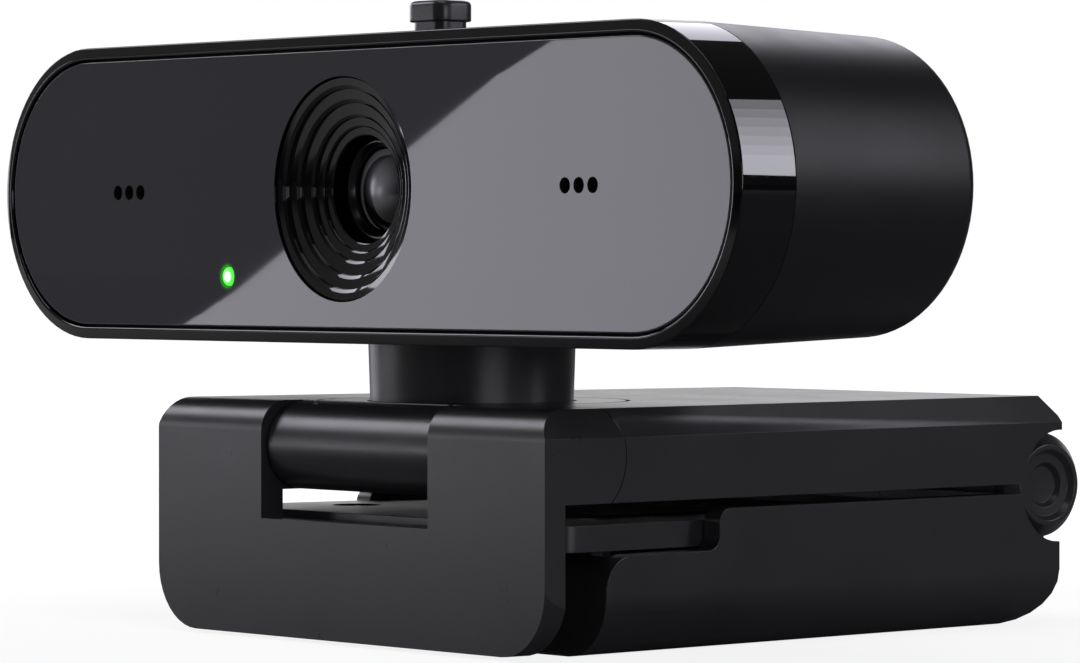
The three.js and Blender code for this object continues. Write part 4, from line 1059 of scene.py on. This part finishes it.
# ---------- light ----------
# brightness of the lamps' faces, and of what mirrored rays see of the world and the floor
LEVELS = {
    "panel": 3.05, "back_right": 2.6, "back_right_step": 1.0, "back_left": 2.7, "left_high": 4.4,
    "left_low": 2.9, "left_rim": 5.0, "right": 3.2, "back_low": 2.0, "high_right": 2.0,
    "front": 0.25, "top": 2.4, "world": 0.05, "room": 0.15, "sector": 1.0, "floor": 0.3,
}
ALONG_X, ALONG_Y = Vector((1, 0, 0)), Vector((0, 1, 0))
STRIP_DISTANCE = 0.7
STRIP_WIDTH = 0.08
TINT = (0.98, 0.97, 1.07)
STAGE_CENTRE = Vector((0, 0, 0.03))


def area_light(name, centre, towards, size, radiance, run):
    """Soft box whose face has the given brightness; the first side of its size follows run."""
    data = bpy.data.lights.new(name, "AREA")
    data.shape = "RECTANGLE"
    data.size, data.size_y = size
    data.energy = radiance * math.pi * size[0] * size[1]
    data.color = TINT
    light = bpy.data.objects.new(name, data)
    bpy.context.scene.collection.objects.link(light)
    z = (centre - towards).normalized()
    x = (run - run.dot(z) * z).normalized()
    y = z.cross(x)
    light.matrix_world = Matrix.Translation(centre) @ Matrix((x, y, z)).transposed().to_4x4()


def aimed_light(name, direction, distance, size, run):
    centre = STAGE_CENTRE + Vector(direction).normalized() * distance
    area_light(name, centre, STAGE_CENTRE, size, LEVELS[name], run)


def reflected_panel():
    """Soft box in front on the left, whose edge crosses the glass as a slanting line."""
    glass_y = RIM_Y + GLASS_FRONT
    mirrored = Vector((CAMERA_SPOT.x, 2 * glass_y - CAMERA_SPOT.y, CAMERA_SPOT.z))
    # the two ends of that line on the glass
    low = Vector((-21.6 * MM, glass_y, HEAD_Z - 11.8 * MM))
    high = Vector((26.2 * MM, glass_y, HEAD_Z + 11.7 * MM))
    distance, length, width, shift = 0.62, 0.14, 0.085, 0.012
    ray_low = (low - mirrored).normalized()
    ray_high = (high - mirrored).normalized()
    forward = (ray_low + ray_high).normalized()
    middle_point = (low + high) / 2 + forward * distance
    a = mirrored + ray_low * ((middle_point - mirrored).dot(forward) / ray_low.dot(forward))
    b = mirrored + ray_high * ((middle_point - mirrored).dot(forward) / ray_high.dot(forward))
    edge = (b - a).normalized()
    across = forward.cross(edge).normalized()
    if across.dot(Vector((1, 0, -1))) < 0:
        across = -across
    centre = (a + b) / 2 + across * (width / 2) + edge * shift
    area_light("panel", centre, centre - forward, (length, width), LEVELS["panel"], edge)


def strip(name, low, high, width, radiance):
    """Soft box between two directions that the glossy end of the head mirrors to the camera."""
    band = Vector((HALF_WIDTH - 2 * MM, RIM_Y + 3 * MM, HEAD_Z))
    start = band + Vector(low).normalized() * STRIP_DISTANCE
    end = band + Vector(high).normalized() * STRIP_DISTANCE
    centre = (start + end) / 2
    area_light(name, centre, band, ((end - start).length, width), radiance, end - start)


reflected_panel()
# one strip over the whole height and six shorter ones over it make a reflection that fades upwards
BAND_LOW = Vector((0.765, 0.636, 0.0985))
BAND_HIGH = Vector((0.375, 0.636, 0.675))
strip("back_right", BAND_LOW, BAND_HIGH, STRIP_WIDTH, LEVELS["back_right"])
for number in range(6):
    part_way = BAND_LOW.lerp(BAND_HIGH, 0.26 + 0.12 * number)
    strip("back_right_%d" % number, BAND_LOW, part_way, STRIP_WIDTH, LEVELS["back_right_step"])
strip(
    "back_left", (-0.699, 0.636, 0.327), (-0.396, 0.636, 0.663), 2 * STRIP_WIDTH, LEVELS["back_left"]
)
# direction from the object, distance, both sides of the face, and the way its first side runs
for name, direction, distance, size, run in (
    ("left_high", (-0.77, -0.30, 0.56), 0.7, (0.26, 0.20), ALONG_Y),
    ("left_low", (-1, 0, 0.18), 0.8, (0.36, 0.42), ALONG_Y),
    ("left_rim", (-0.88, -0.47, 0.06), 0.8, (0.08, 0.16), ALONG_Y),
    ("right", (0.96, -0.26, 0.06), 0.8, (0.40, 0.20), ALONG_X),
    ("back_low", (0.958, 0.286, 0.10), 0.8, (0.14, 0.12), ALONG_X),
    ("high_right", (0.45, -0.30, 0.84), 0.7, (0.20, 0.12), ALONG_X),
    ("front", (0.15, -0.98, 0.05), 0.9, (0.20, 0.12), ALONG_X),
    ("top", (0.0, -0.15, 1.0), 0.75, (0.5, 0.25), ALONG_X),
):
    aimed_light(name, direction, distance, size, run)


def path_switch(tree):
    """Whether a ray sees the world white, and how bright the world is where it doesn't.

    Camera rays see white everywhere, mirrored and refracted ones only behind the object on the left.
    """
    path = tree.nodes.new("ShaderNodeLightPath")
    where = tree.nodes.new("ShaderNodeTexCoord").outputs["Generated"]
    parts = tree.nodes.new("ShaderNodeSeparateXYZ")
    tree.links.new(where, parts.inputs[0])
    across, along, up = (parts.outputs[axis] for axis in "XYZ")
    left = graded(tree, across, -0.40, -0.38, 1, 0)
    rear = graded(tree, along, 0.1, 0.35, 0, 1)
    low = graded(tree, up, 0.29, 0.31, LEVELS["sector"], 0)
    sector = joined(tree, "MULTIPLY", joined(tree, "MULTIPLY", left, rear), low)
    glossy, through = path.outputs["Is Glossy Ray"], path.outputs["Is Transmission Ray"]
    behind = joined(tree, "MULTIPLY", joined(tree, "MAXIMUM", glossy, through), sector)
    facing = graded(tree, across, -0.5, -0.1, LEVELS["room"], 0)
    ahead = graded(tree, along, 0.0, 0.2, 1, 0)
    above = graded(tree, up, 0.04, 0.08, 0, 1)
    room = joined(tree, "MULTIPLY", facing, joined(tree, "MULTIPLY", ahead, above))
    dim = graded(tree, room, 0, 1, LEVELS["world"], 1 + LEVELS["world"])
    return joined(tree, "MAXIMUM", path.outputs["Is Camera Ray"], behind), dim


def set_world():
    world = bpy.data.worlds.new("world")
    bpy.context.scene.world = world
    world.use_nodes = True
    tree = world.node_tree
    background = tree.nodes["Background"]
    background.inputs["Color"].default_value = (1, 1, 1, 1)
    switch = tree.nodes.new("ShaderNodeMapRange")
    white, dim = path_switch(tree)
    tree.links.new(dim, switch.inputs["To Min"])
    switch.inputs["To Max"].default_value = 1.0
    tree.links.new(white, switch.inputs["Value"])
    tree.links.new(switch.outputs["Result"], background.inputs["Strength"])


set_world()


def set_floor():
    """Pale floor: white to the camera, with the object's shadow near its foot.

    It lies a hair under the object. Mirrored rays see a faint light patch of it in front on the left.
    """
    size, height = 6.0, -0.02 * MM
    bm = bmesh.new()
    corners = ((-1, -1), (1, -1), (1, 1), (-1, 1))
    bm.faces.new([bm.verts.new((x * size, y * size, height)) for x, y in corners])
    floor = make("floor", bm)
    material = bpy.data.materials.new("floor")
    material.use_nodes = True
    tree = material.node_tree
    tree.nodes.clear()
    output = tree.nodes.new("ShaderNodeOutputMaterial")
    diffuse = tree.nodes.new("ShaderNodeBsdfDiffuse")
    tone = noise(tree, coordinates(tree), 40)
    color = ramp(tree, tone, (0.24, 0.24, 0.24), (0.26, 0.26, 0.26))
    tree.links.new(color, diffuse.inputs["Color"])
    emission = tree.nodes.new("ShaderNodeEmission")
    path = tree.nodes.new("ShaderNodeLightPath")
    white = distance_from(tree, (0, 0.018, 0), 0.05, 0.16, 0.86, 1.0)
    patch = distance_from(tree, (-0.25, -0.20, 0), 0.12, 0.28, LEVELS["floor"], 0.0)
    seen = joined(tree, "MULTIPLY", path.outputs["Is Camera Ray"], white)
    mirrored = joined(tree, "MULTIPLY", path.outputs["Is Glossy Ray"], patch)
    tree.links.new(joined(tree, "ADD", seen, mirrored), emission.inputs["Strength"])
    total = tree.nodes.new("ShaderNodeAddShader")
    tree.links.new(diffuse.outputs["BSDF"], total.inputs[0])
    tree.links.new(emission.outputs["Emission"], total.inputs[1])
    tree.links.new(total.outputs["Shader"], output.inputs["Surface"])
    floor.data.materials.append(material)


set_floor()
bpy.context.scene.view_settings.view_transform = "Standard"
